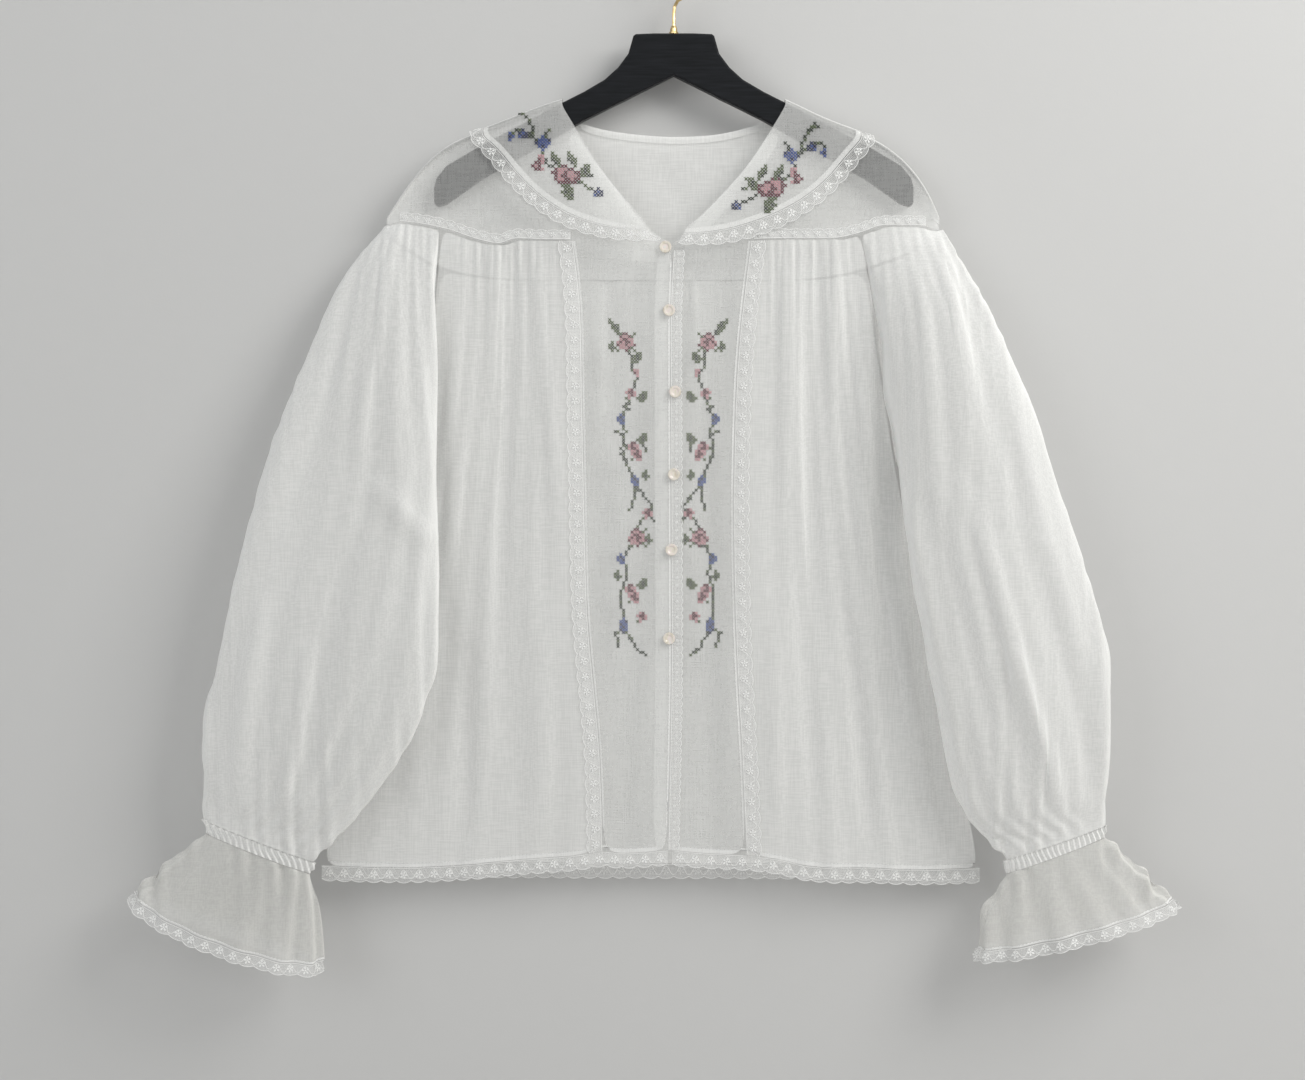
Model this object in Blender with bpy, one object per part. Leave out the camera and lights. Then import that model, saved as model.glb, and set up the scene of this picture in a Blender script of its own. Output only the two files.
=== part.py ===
"""A gathered blouse with a cape collar, balloon sleeves and lace, on a flat wooden hanger.

The front faces -Y and +Z is up. The origin is the inside top of the hanger's hook.
All tables and sizes are in millimetres, and the meshes are in metres.
"""

import math

import bmesh
import bpy
import numpy as np

for old in list(bpy.data.objects):
    bpy.data.objects.remove(old, do_unlink=True)

MM = 0.001
CLOTH = 1.2
LACE = 1.0
SEAM = 0.4
HEAD_GAP = 0.8
ARMHOLE_GAP = 1.4
LAYER = 1.5
HANGER_HALF = 5.5
FOLD_HEIGHT = 6.0
FOLD_DEPTH = 8.5
FACING_WIDTH = 11.0
BACK_FACING_WIDTH = 6.0
HEM_LACE_DROP = 13.0
CUFF_LACE_DROP = 11.0
SEAM_LACE_WIDTH = 13.0
YOKE_LACE_WIDTH = 8.5
PLACKET_WIDTH = 13.0
PLACKET_LACE_WIDTH = 9.5
BUTTON_RADIUS = 5.2
BUTTON_THICKNESS = 2.4
HOOK_RADIUS = 16.0
WIRE_RADIUS = 1.4

# The shoulder line, where the cloth folds over from front to back: x, z.
SHOULDER = (
    (-241, -217), (-237, -211), (-226, -193), (-209, -169.5), (-191, -152),
    (-169, -142.5), (-157, -139.5), (-124, -126.5), (-102, -117.5), (-92, -114.8),
    (92, -114.8), (98, -117), (116, -127.5), (128, -132.5), (151, -141),
    (168, -147), (183, -157), (196, -168), (210, -188), (219, -209), (223, -222),
)
# The lower edge of the front yoke: x, z.
FRONT_YOKE = (
    (-241, -218), (-226, -215), (-201, -219), (-184, -223), (-162, -231), (-144, -235),
    (-132, -230), (-111, -231), (-84, -231), (-2, -239), (63, -231), (77, -230),
    (99, -230), (123, -230), (136, -230), (155, -225), (169, -219), (185, -219),
    (210, -219), (223, -224),
)
# The lower edge of the back yoke: x, z.
BACK_YOKE = (
    (-241, -218), (-232, -226), (-215, -240), (-195, -252), (-150, -261), (0, -262),
    (120, -261), (160, -252), (190, -241), (212, -231), (223, -224),
)
# The front neckline: x, z.
NECK = (
    (-92, -121), (-83, -134), (-74, -154), (-59, -174), (-43, -194), (-24, -220),
    (-6, -233), (-2, -235), (0, -235), (11, -222), (26, -208), (48, -184), (64, -166),
    (74, -149), (83, -134), (92, -121),
)
# The back neckline: x, z.
BACK_NECK = (
    (-92, -121), (-83, -129), (-67, -135), (-56, -138), (-21, -142), (1, -143),
    (30, -142), (48, -139), (73, -132), (83, -128), (92, -121),
)
# The hem of the front: x, z.
HEM = (
    (-292, -747), (-250, -748), (-212, -748), (-175, -746), (-147, -743), (-118, -740),
    (-81, -738), (-71, -734), (-58, -734), (-43, -736), (-13, -734), (-6, -733),
    (29, -736), (57, -737), (85, -740), (107, -746), (126, -748), (161, -748),
    (198, -750), (254, -749),
)
# The hem of the back: x, z.
BACK_HEM = ((-292, -747), (-150, -746), (-20, -747), (60, -747), (180, -748), (254, -749))
# The seams of the centre panel, and the opening edge: z, x.
SEAM_LEFT = ((-228, -83), (-281, -76), (-363, -75), (-552, -71), (-594, -66), (-622, -61), (-734, -58))
SEAM_RIGHT = ((-230, 63), (-302, 54), (-354, 50), (-458, 48), (-585, 51), (-636, 55), (-737, 59))
OPENING = ((-236, 0), (-252, -2), (-281, -3), (-593, -2), (-734, -5))
# The armhole and the side seam of the body: z, x.
SIDE_LEFT = ((-217, -192), (-250, -194), (-285, -197), (-330, -202), (-375, -209), (-429, -221), (-747, -292))
SIDE_RIGHT = ((-222, 154), (-250, 159), (-285, 164), (-330, 170), (-375, 177), (-429, 185), (-750, 254))
UNDERARM_Z = -429
# How far down the armhole each row of body and sleeve lies, as a share of its height.
ARMHOLE_ROWS = (0, 0.16, 0.33, 0.53, 0.75, 1)
# How far down each row below the underarm lies, as a share of the height to the hem.
LOWER_ROWS = (0.18, 0.36, 0.54, 0.72, 0.87, 1)

# The folds of a gathered panel, one a row, from the centre seam outwards: place at the
# top, place at the hem (shares of the width), and height at the top, middle and hem.
FOLDS_LEFT = (
    (0.19, 0.12, 1.8, 1.0, 1.4),
    (0.31, 0.24, 1.8, 3.4, 3.4),
    (0.42, 0.35, 2.0, 1.2, 0.6),
    (0.52, 0.46, 1.8, 3.8, 3.2),
    (0.62, 0.58, 2.0, 1.4, 0.8),
    (0.72, 0.70, 1.8, 3.2, 3.0),
    (0.82, 0.82, 1.6, 1.0, 1.8),
    (0.92, 0.92, 0.8, 0.4, 0.3),
)
FOLDS_RIGHT = (
    (0.22, 0.12, 1.8, 2.0, 1.2),
    (0.33, 0.25, 2.0, 1.4, 2.8),
    (0.44, 0.37, 1.8, 3.8, 3.6),
    (0.55, 0.50, 2.0, 1.2, 0.8),
    (0.65, 0.62, 1.8, 3.6, 3.4),
    (0.75, 0.73, 2.0, 1.8, 1.4),
    (0.84, 0.83, 1.6, 1.6, 2.0),
    (0.93, 0.93, 0.8, 0.4, 0.3),
)
FOLDS_BACK = (
    (0.05, 0.05, 0.8, 0.6, 0.4),
    (0.12, 0.12, 1.8, 1.8, 2.0),
    (0.19, 0.20, 2.0, 3.4, 3.8),
    (0.26, 0.27, 1.8, 1.2, 0.8),
    (0.33, 0.34, 2.0, 3.6, 3.6),
    (0.40, 0.41, 1.8, 1.8, 1.2),
    (0.47, 0.47, 2.0, 3.2, 3.4),
    (0.54, 0.54, 1.8, 1.4, 1.4),
    (0.61, 0.60, 2.0, 3.8, 3.8),
    (0.68, 0.67, 1.8, 1.2, 1.2),
    (0.75, 0.74, 2.0, 3.4, 3.2),
    (0.82, 0.81, 1.8, 2.0, 1.8),
    (0.89, 0.88, 1.8, 2.4, 2.8),
    (0.95, 0.95, 0.8, 0.6, 0.4),
)
# The folds of a sleeve, one a row: place round it from the front edge of the armhole
# to the back one, and height at the head, the middle and the wrist.
FOLDS_SLEEVE = (
    (0.07, 0.6, 0.4, 1.2),
    (0.14, 1.8, 2.4, 2.6),
    (0.20, 1.8, 3.8, 3.2),
    (0.26, 2.0, 1.2, 3.2),
    (0.32, 1.8, 4.0, 3.0),
    (0.38, 1.8, 1.4, 3.2),
    (0.44, 1.4, 2.6, 1.6),
    (0.52, 1.0, 0.8, 1.0),
    (0.60, 1.4, 1.8, 2.6),
    (0.67, 1.6, 2.6, 2.8),
    (0.74, 1.6, 1.2, 2.6),
    (0.81, 1.6, 1.8, 2.4),
    (0.88, 1.4, 0.6, 1.8),
    (0.95, 0.6, 0.3, 1.0),
)
# The sections of a sleeve below its head: outer x, outer z, inner x, inner z, front y,
# back y, and where the sheet closes (the armhole above the underarm): x, y.
SLEEVE_LEFT = (
    (-266, -248, -194.5, -251, -24, 8, -194, -7.5),
    (-284, -277, -193, -287, -33, 7, -197, -6.2),
    (-300, -318, -192, -329, -41, 5, -202, -4.5),
    (-316, -359, -192, -376, -47, 2, -209, -2.8),
    (-333, -402, -191, -429, -51, -1.6, -222, -2.4),
    (-347, -447, -191, -474, -54, -11, -221, -12),
    (-358, -494, -190, -523, -56, -14, -216, -14),
    (-369, -537, -191, -564, -57, -14, -214, -14),
    (-378, -579, -195, -601, -56, -14, -220, -14),
    (-385, -619, -208, -634, -54, -14, -236, -14),
    (-387, -654, -227, -666, -50, -14, -254, -14),
    (-388, -684, -258, -706, -45, -14, -280, -15),
)
SLEEVE_RIGHT = (
    (245, -256, 160.5, -254, -25, 8, 159, -7.5),
    (261, -285, 170, -288, -35, 7, 164, -6.2),
    (276, -320, 175, -330, -44, 5, 170, -4.5),
    (290, -355, 179, -377, -50, 0.8, 177, -2.8),
    (306, -400, 183, -429, -54, -4.6, 186, -2.4),
    (321, -449, 188, -474, -57, -10, 216, -12),
    (335, -488, 195, -523, -59, -14, 222, -14),
    (347, -527, 203, -568, -59, -14, 230, -14),
    (355, -568, 212, -607, -57, -14, 238, -14),
    (359, -609, 218, -646, -54, -14, 244, -14),
    (359, -650, 226, -683, -50, -14, 250, -14),
    (358, -687, 241, -712, -45, -14, 266, -15),
)
# The wrist casing and the cuff ruffle: outer x, outer z, inner x, inner z, middle y,
# half depth, wave height, and how far the front sags below the straight line.
WRIST_LEFT = (
    (-386, -706, -292, -742, -27, 12, 0.7, 0),
    (-383, -712, -294, -747, -27, 11, 0.9, 0),
    (-382, -717, -297, -750, -27, 12, 0.7, 0),
)
RUFFLE_LEFT = (
    (-400, -731, -291, -768, -27, 15, 2.9, 3),
    (-421, -747, -289, -793, -28, 18.5, 4.8, 8),
    (-438, -764, -287, -819, -30, 22, 6.0, 13),
)
WRIST_RIGHT = (
    (354, -711, 269, -740, -27, 12, 0.7, 0),
    (353, -716, 270, -746, -27, 11, 0.9, 0),
    (352, -720, 271, -750, -27, 12, 0.7, 0),
)
RUFFLE_RIGHT = (
    (366, -733, 259, -768, -27, 15, 2.9, 2),
    (385, -750, 251, -788, -28, 18.5, 4.8, 4),
    (405, -770, 247, -810, -30, 22, 6.0, 6),
)
WRIST_RIDGES = 32
RUFFLE_WAVES = 14

# The collar from its left tip over the left shoulder, round the back and on to the
# right tip: neck x, neck z, hem x, hem z, lace x, lace z, and how far it stands off.
COLLAR_FRONT_LEFT = (
    (-22, -218, -25, -222, -8, -232, 5.8),
    (-35, -203, -50, -221, -47, -233, 5.0),
    (-48, -188, -80, -213, -85, -224, 3.2),
    (-62, -170, -106, -198, -114, -207, 2.9),
    (-74, -154, -128, -177, -138, -184, 2.9),
    (-83, -135, -145, -154, -156, -160, 2.6),
)
COLLAR_BACK = (
    (-84, -129, -146, -160, -157, -165, 2.0),
    (-67, -135, -124, -194, -132, -203, 2.0),
    (-40, -140, -84, -222, -88, -233, 2.0),
    (-14, -142.5, -28, -236, -29, -247.5, 2.0),
    (14, -142.8, 28, -236, 29, -247.5, 2.0),
    (40, -140.5, 84, -222, 88, -233, 2.0),
    (67, -134, 122, -194, 130, -203, 2.0),
    (84, -128, 143, -162, 154, -167, 2.0),
)
COLLAR_FRONT_RIGHT = (
    (83, -135, 143, -159, 154, -165, 2.6),
    (72, -154, 127, -180, 137, -187, 2.9),
    (58, -174, 105, -198, 113, -208, 2.9),
    (42, -191, 75, -213, 80, -226, 3.2),
    (25, -209, 39, -224, 38, -237, 5.0),
    (10, -221, 8, -226, 3, -235, 5.8),
)
SHOULDER_TURNS = (0, 22, 45, 68, 90, 112, 135, 158, 180)
COLLAR_ROWS = 5

# The flat hanger, half outline: x, top z, bottom z.
HANGER = (
    (0, -59.3, -94), (16, -59.3, -102), (33, -60, -110.5), (37.5, -76, -113),
    (46, -87.5, -117), (57, -97.5, -122.5), (74, -107.5, -131), (92, -116.6, -141),
    (125, -134, -160), (160, -152.5, -180), (188, -169, -200), (196, -179, -202.5),
    (198, -187, -199),
)
HANGER_BEVEL = 1.5
BUTTONS = ((-7, -237), (-4, -289), (1, -356), (0, -424), (-2, -486), (-4, -559))

SLOTS = {
    "cloth": (0.86, 0.86, 0.84, 0.0, 0.85),
    "lace": (0.92, 0.92, 0.90, 0.0, 0.80),
    "shell_button": (0.88, 0.86, 0.80, 0.0, 0.25),
    "black_wood": (0.025, 0.027, 0.03, 0.0, 0.45),
    "brass": (0.76, 0.62, 0.34, 1.0, 0.28),
}


def material(slot):
    found = bpy.data.materials.get(slot)
    if found:
        return found
    red, green, blue, metallic, roughness = SLOTS[slot]
    made = bpy.data.materials.new(slot)
    made.use_nodes = True
    shader = made.node_tree.nodes["Principled BSDF"]
    shader.inputs["Base Color"].default_value = (red, green, blue, 1)
    shader.inputs["Metallic"].default_value = metallic
    shader.inputs["Roughness"].default_value = roughness
    return made


def add(name, mesh, slot):
    mesh.materials.append(material(slot))
    mesh.shade_smooth()
    made = bpy.data.objects.new(name, mesh)
    bpy.context.scene.collection.objects.link(made)
    return made


def halved(points, faces):
    """Each four-sided face as two triangles, split along its shorter diagonal."""
    out = []
    for face in faces:
        a, b, c, d = points[list(face)]
        if np.linalg.norm(a - c) < np.linalg.norm(b - d):
            out += [(face[0], face[1], face[2]), (face[0], face[2], face[3])]
        else:
            out += [(face[1], face[2], face[3]), (face[1], face[3], face[0])]
    return out


def shell(name, points, faces, wall, slot):
    """A closed wall of even thickness round a sheet; the sheet is its middle."""
    points = np.asarray(points, float)
    mesh = bpy.data.meshes.new(name)
    mesh.from_pydata((points * MM).tolist(), [], halved(points, faces))
    made = add(name, mesh, slot)
    solidify = made.modifiers.new("wall", "SOLIDIFY")
    solidify.thickness = wall * MM
    solidify.offset = 0
    return made


def sheet(name, grid, slot, wall=CLOTH, closed_from=None, first_row=None):
    """A shell from a grid of points [row][column].

    From row closed_from down, the last column is the first one again. first_row says
    for each column which row it starts in.
    """
    grid = np.asarray(grid, float)
    rows, columns = grid.shape[:2]
    closed_from = rows if closed_from is None else closed_from
    first_row = [0] * columns if first_row is None else first_row

    def index(r, c):
        return r * columns + (0 if r >= closed_from and c == columns - 1 else c)

    faces = []
    for r in range(rows - 1):
        for c in range(columns - 1):
            if r >= max(first_row[c], first_row[c + 1]):
                faces.append((index(r, c), index(r + 1, c), index(r + 1, c + 1), index(r, c + 1)))
    used = sorted({i for f in faces for i in f})
    place = {i: k for k, i in enumerate(used)}
    flat = grid.reshape(-1, 3)[used]
    return shell(name, flat, [tuple(place[i] for i in f) for f in faces], wall, slot)


def tube(name, rings, slot, wall=CLOTH):
    """A shell from rings of points that each close on themselves."""
    closed = [np.vstack([ring, ring[:1]]) for ring in rings]
    return sheet(name, closed, slot, wall, closed_from=0)


def look(table, key, column=1):
    """The table's value at a key, whichever way the keys run."""
    rows = sorted(table)
    return float(np.interp(key, [r[0] for r in rows], [r[column] for r in rows]))


def lowest(table, key):
    """The table's least value within five millimetres of a key."""
    return min(look(table, key + step) for step in (-5, -2.5, 0, 2.5, 5))


def smooth(t):
    t = min(1.0, max(0.0, t))
    return t * t * (3 - 2 * t)


def mix(a, b, t):
    return a + (b - a) * t


# Depths of the cloth. The front lies at minus this and the back at plus this.


def yoke_depth(x):
    """How deep the yoke lies at its lower edge; it closes at the shoulder's end."""
    end = 241 if x < 0 else 223
    inside = end - abs(x)
    return float(np.interp(inside, (0, 4, 15, 38, 90, 240), (0.2, 3.6, 7, 8.8, 10, 11.5)))


def fold_height(x):
    """How far the fold over the shoulder reaches down."""
    return min(FOLD_HEIGHT, 0.5 * (look(SHOULDER, x) - look(FRONT_YOKE, x)))


def yoke_y(x, z):
    """The yoke's depth at a place on it."""
    top = look(SHOULDER, x)
    tall = fold_height(x)
    fold = min(FOLD_DEPTH, yoke_depth(x))
    down = top - z
    if down < tall:
        share = max(0.0, 1 - down / tall)
        return fold * (1 - share**3) ** (1 / 3)
    bottom = top - look(FRONT_YOKE, x)
    return mix(fold, yoke_depth(x), smooth((down - tall) / max(1e-6, bottom - tall)))


def body_y(x, z):
    """The body's depth below the yoke, without its gathers."""
    side = look(SIDE_LEFT if x < 0 else SIDE_RIGHT, z)
    share = min(1.0, abs(x / side))
    low = 0.8 + 10 * (1 - share**2) ** 0.7
    down = min(1.0, max(0.0, (look(FRONT_YOKE, x) - z) / 208))
    return mix(yoke_depth(x), low, down**1.6)


def front_y(x, z):
    if z > look(FRONT_YOKE, x):
        return -yoke_y(x, z)
    return -body_y(x, z)


def back_y(x, z):
    return yoke_y(x, z) if z > look(FRONT_YOKE, x) else body_y(x, z)


def armhole_levels(top, bottom, hem):
    """The heights of a body panel's rows down one column."""
    upper = [mix(top, bottom, s) for s in ARMHOLE_ROWS]
    return upper + [mix(bottom, hem, s) for s in LOWER_ROWS]


def shoulder_rows(x, front):
    """Points over the shoulder's fold, from its top down, at one x."""
    sign = -1 if front else 1
    fold = min(FOLD_DEPTH, yoke_depth(x))
    rows = [(x, sign * 0.15, look(SHOULDER, x))]
    for turn in (20, 45, 70, 90):
        a = math.radians(turn)
        y = sign * fold * math.sin(a) ** (2 / 3)
        z = look(SHOULDER, x) - fold_height(x) * (1 - max(0.0, math.cos(a)) ** (2 / 3))
        rows.append((x, y, z))
    return rows


# Fronts: half yoke and centre panel in one, and the back yoke.

YOKE_ROWS = 4


def front_piece(side):
    """A T-shaped front: the outer columns end at the yoke's lower edge."""
    left = side < 0
    seam = SEAM_LEFT if left else SEAM_RIGHT
    outer = (-237.5, -232, -222, -203, -184, -162, -144, -132, -111, -92)
    outer = outer if left else (219.5, 214, 205, 190, 170, 155, 136, 118, 104, 92)
    inner = (0, 0.25, 0.5, 0.75, 1) if left else (0, 0.26, 0.52, 0.78, 0.95, 1.17)
    columns = []
    for x in outer:
        rows = shoulder_rows(x, True)
        bottom = look(FRONT_YOKE, x)
        for r in range(1, YOKE_ROWS + 1):
            z = mix(rows[4][2], bottom, r / YOKE_ROWS)
            rows.append((x, front_y(x, z), z))
        columns.append(rows + [rows[-1]] * 11)
    for share in inner:
        x = mix(look(seam, -231), -2.2, share)
        if not left:
            x = min(63, mix(63, -0.5, share))
        top = look(NECK, max(-83, min(83, x)))
        if x < -2 and not left:
            top = -238.6
        bottom = min(look(FRONT_YOKE, x), top - 4)
        behind = 0 if left else 1.9 * smooth((10 - x) / 9)
        rows = [(x, 0, 0)] * 4
        for r in range(YOKE_ROWS + 1):
            z = mix(top, bottom, r / YOKE_ROWS)
            rows.append((x, front_y(x, z) + behind, z))
        for r in range(1, 12):
            z = armhole_levels(bottom, UNDERARM_Z, look(HEM, x))[r]
            across = mix(look(seam, z), look(OPENING, z) + (-0.2 if left else 0.2), share)
            z = armhole_levels(bottom, UNDERARM_Z, look(HEM, across))[r]
            rows.append((across, front_y(across, z) + behind, z))
        columns.append(rows)
    grid = np.array(columns, float).transpose(1, 0, 2)
    count = len(outer)
    return grid, count


def build_front(name, side):
    grid, outer = front_piece(side)
    rows, columns = grid.shape[:2]
    faces = []
    for r in range(rows - 1):
        for c in range(columns - 1):
            if c < outer - 1 and r >= 4 + YOKE_ROWS:
                continue
            if c >= outer - 1 and r < 4:
                continue
            if c == outer - 1 and r >= 4 + YOKE_ROWS:
                continue
            quad = (r * columns + c, (r + 1) * columns + c)
            quad += ((r + 1) * columns + c + 1, r * columns + c + 1)
            faces.append(quad if side < 0 else quad[::-1])
    used = sorted({i for f in faces for i in f})
    place = {i: k for k, i in enumerate(used)}
    flat = grid.reshape(-1, 3)[used]
    shell(name, flat, [tuple(place[i] for i in f) for f in faces], CLOTH, "cloth")
    return grid, outer


front_left, outer_left = build_front("front_left", -1)
front_right, outer_right = build_front("front_right", 1)

back_columns = (-237.5, -232, -222, -205, -185, -160, -135, -112, -92, -80, -67, -50, -32)
back_columns += (-15, 0, 15, 32, 50, 67, 80, 92, 112, 135, 155, 172, 190, 205, 214, 219.5)
columns = []
starts = []
for x in back_columns:
    bottom = look(BACK_YOKE, x)
    if abs(x) >= 92:
        rows = shoulder_rows(x, False)
        starts.append(0)
    else:
        rows = [(x, 0, 0)] * 4 + [(x, back_y(x, look(BACK_NECK, x)), look(BACK_NECK, x))]
        starts.append(4)
    for r in range(1, YOKE_ROWS + 1):
        z = mix(rows[4][2], bottom, r / YOKE_ROWS)
        rows.append((x, back_y(x, z), z))
    columns.append(rows)
back_yoke = np.array(columns, float).transpose(1, 0, 2)
sheet("back_yoke", back_yoke[:, ::-1], "cloth", first_row=starts[::-1])


# Gathered panels: the two side fronts and the back.


def fold_columns(folds, first=0.0, last=1.0):
    """Crests and the troughs between them: top, hem, and height at top, middle, hem."""
    out = [(first, first, 0, 0, 0)]
    for a, b in zip(folds, folds[1:]):
        out.append(a)
        middle = [(p + q) / 2 for p, q in zip(a, b)]
        out.append((middle[0], middle[1], *[-0.5 * v for v in middle[2:]]))
    out.append(folds[-1])
    out.append((last, last, 0, 0, 0))
    return out


def gathered(folds, seam, side, top_of, hem_of, depth, sign):
    """The grid of a gathered panel that hangs from a yoke."""
    grid = []
    for top, hem, *heights in fold_columns(folds):
        x = mix(seam(-232), side(-232), top)
        start = top_of(x) - SEAM - 0.2
        levels = armhole_levels(start, UNDERARM_Z, hem_of(mix(seam(-740), side(-740), hem)))
        column = []
        for z in levels:
            down = (start - z) / (start - levels[-1])
            place = mix(top, hem, down)
            x = mix(seam(z), side(z), place)
            high = float(np.interp(down, (0, 0.1, 0.45, 1), (0.7 * heights[0], *heights)))
            column.append((x, sign * (depth(x, z) + high), z))
        grid.append(column)
    return np.array(grid, float).transpose(1, 0, 2)


def side_front(name, folds, seam, side, sign):
    yoke_edge = front_edge_left if sign < 0 else front_edge_right
    grid = gathered(
        folds,
        lambda z: look(seam, z) + sign * SEAM,
        lambda z: look(side, z) - sign * ARMHOLE_GAP / 2,
        lambda x: lowest(yoke_edge, x),
        lambda x: look(HEM, x),
        body_y,
        -1,
    )
    flipped = grid[:, ::-1] if sign < 0 else grid
    sheet(name, flipped, "cloth")
    return grid


front_edge_left = [(p[0], p[2]) for p in front_left[8, :outer_left]]
front_edge_right = [(p[0], p[2]) for p in front_right[8, :outer_right]]
front_edge_left.append((look(SEAM_LEFT, -231), look(FRONT_YOKE, look(SEAM_LEFT, -231))))
front_edge_right.append((look(SEAM_RIGHT, -231), look(FRONT_YOKE, look(SEAM_RIGHT, -231))))
back_edge = [(p[0], p[2]) for p in back_yoke[8]]
side_left = side_front("side_front_left", FOLDS_LEFT, SEAM_LEFT, SIDE_LEFT, -1)
side_right = side_front("side_front_right", FOLDS_RIGHT, SEAM_RIGHT, SIDE_RIGHT, 1)
back = gathered(
    FOLDS_BACK,
    lambda z: look(SIDE_LEFT, z) + ARMHOLE_GAP / 2,
    lambda z: look(SIDE_RIGHT, z) - ARMHOLE_GAP / 2,
    lambda x: lowest(back_edge, x),
    lambda x: look(BACK_HEM, x),
    body_y,
    1,
)
sheet("back", back[:, ::-1], "cloth")


# Sleeves.


def curve(controls, count=96):
    """A smooth line through the controls, as many points at even steps."""
    p = np.asarray(controls, float)
    p = np.vstack([2 * p[0] - p[1], p, 2 * p[-1] - p[-2]])
    out = []
    for i in range(1, len(p) - 2):
        for t in np.linspace(0, 1, 12, endpoint=False):
            a, b, c, d = p[i - 1:i + 3]
            out.append(0.5 * (2 * b + (c - a) * t + (2 * a - 5 * b + 4 * c - d) * t**2
                              + (3 * b - a - 3 * c + d) * t**3))
    out.append(p[-2])
    return spread(np.array(out), np.linspace(0, 1, count))


def spread(line, shares):
    """Points along a line at these shares of its length."""
    step = np.linalg.norm(np.diff(line, axis=0), axis=1)
    gone = np.concatenate([[0], np.cumsum(step)])
    return np.stack([np.interp(np.array(shares) * gone[-1], gone, line[:, k]) for k in range(3)], 1)


def section(row, seam_z, back_seam_z, open_armhole, sewn, back_seam_y, back_x):
    """One section of a sleeve, from the armhole's front edge round to its back edge."""
    xo, zo, xi, zi, yf, yb, xs, ys = row

    def level(x):
        return mix(zo, zi, (x - xo) / (xi - xo))

    def at(share, y):
        x = mix(xi, xo, share)
        return (x, y, level(x))

    near = -12.5
    controls = []
    if sewn:
        over = abs(xi - xs)
        controls.append((xs, ys, seam_z))
        controls.append((xs + 0.7 * math.copysign(1, xo), mix(ys, near, 0.75), seam_z))
        if over > 3:
            controls.append((mix(xs, xi, 0.45), near - 0.5, seam_z))
        controls.append((xi, mix(near, yf, 0.35), zi))
    else:
        controls.append((xs, ys, level(xs)))
        controls.append((mix(xi, xs, 0.3), mix(ys, near - 4, 0.6), level(mix(xi, xs, 0.3))))
        controls.append((xi, mix(near, yf, 0.45), zi))
    controls += [at(0.14, 0.85 * yf), at(0.45, yf), at(0.8, mix(yb, yf, 0.88))]
    controls.append((xo, mix(yb, yf, 0.45), zo))
    controls.append(at(0.8, mix(yb, yf, 0.06)))
    if open_armhole:
        x = mix(xo, back_x, 0.6)
        controls.append((x, mix(yb, back_seam_y, 0.5), mix(zo, back_seam_z, 0.6)))
        controls.append((back_x, back_seam_y, back_seam_z))
    else:
        x = mix(xo, xs, 0.6)
        controls.append((x, yb, level(x)))
        controls.append((xs, ys, seam_z if sewn else level(xs)))
    return curve(controls)


def head_line(front_row, back_row, side, sign):
    """Where the sleeve's head is sewn on: the yoke's end, front, tip and back."""
    first_x = look(side, -217) + sign * (ARMHOLE_GAP / 2 + 0.4)
    last_x = look(side, -250) + sign * (ARMHOLE_GAP / 2 + 0.4)
    end_x = -237.5 if sign < 0 else 219.5
    xs = [mix(first_x, end_x, k / 10) for k in range(11)]
    line = [(x, -yoke_depth(x), lowest(front_row, x) - HEAD_GAP) for x in xs]
    line.append((end_x + 5.5 * sign, 0, look(SHOULDER, end_x) - 8.5))
    xs = [mix(end_x, last_x, k / 10) for k in range(11)]
    line += [(x, yoke_depth(x), lowest(back_row, x) - HEAD_GAP) for x in xs]
    return spread(np.array(line, float), np.linspace(0, 1, 96))


def outward(line):
    """Unit vectors square to a section, in the horizontal plane, away from its inside."""
    step = np.gradient(line[:, :2], axis=0)
    out = np.stack([step[:, 1], -step[:, 0]], 1)
    out /= np.maximum(np.linalg.norm(out, axis=1), 1e-9)[:, None]
    return out


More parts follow.
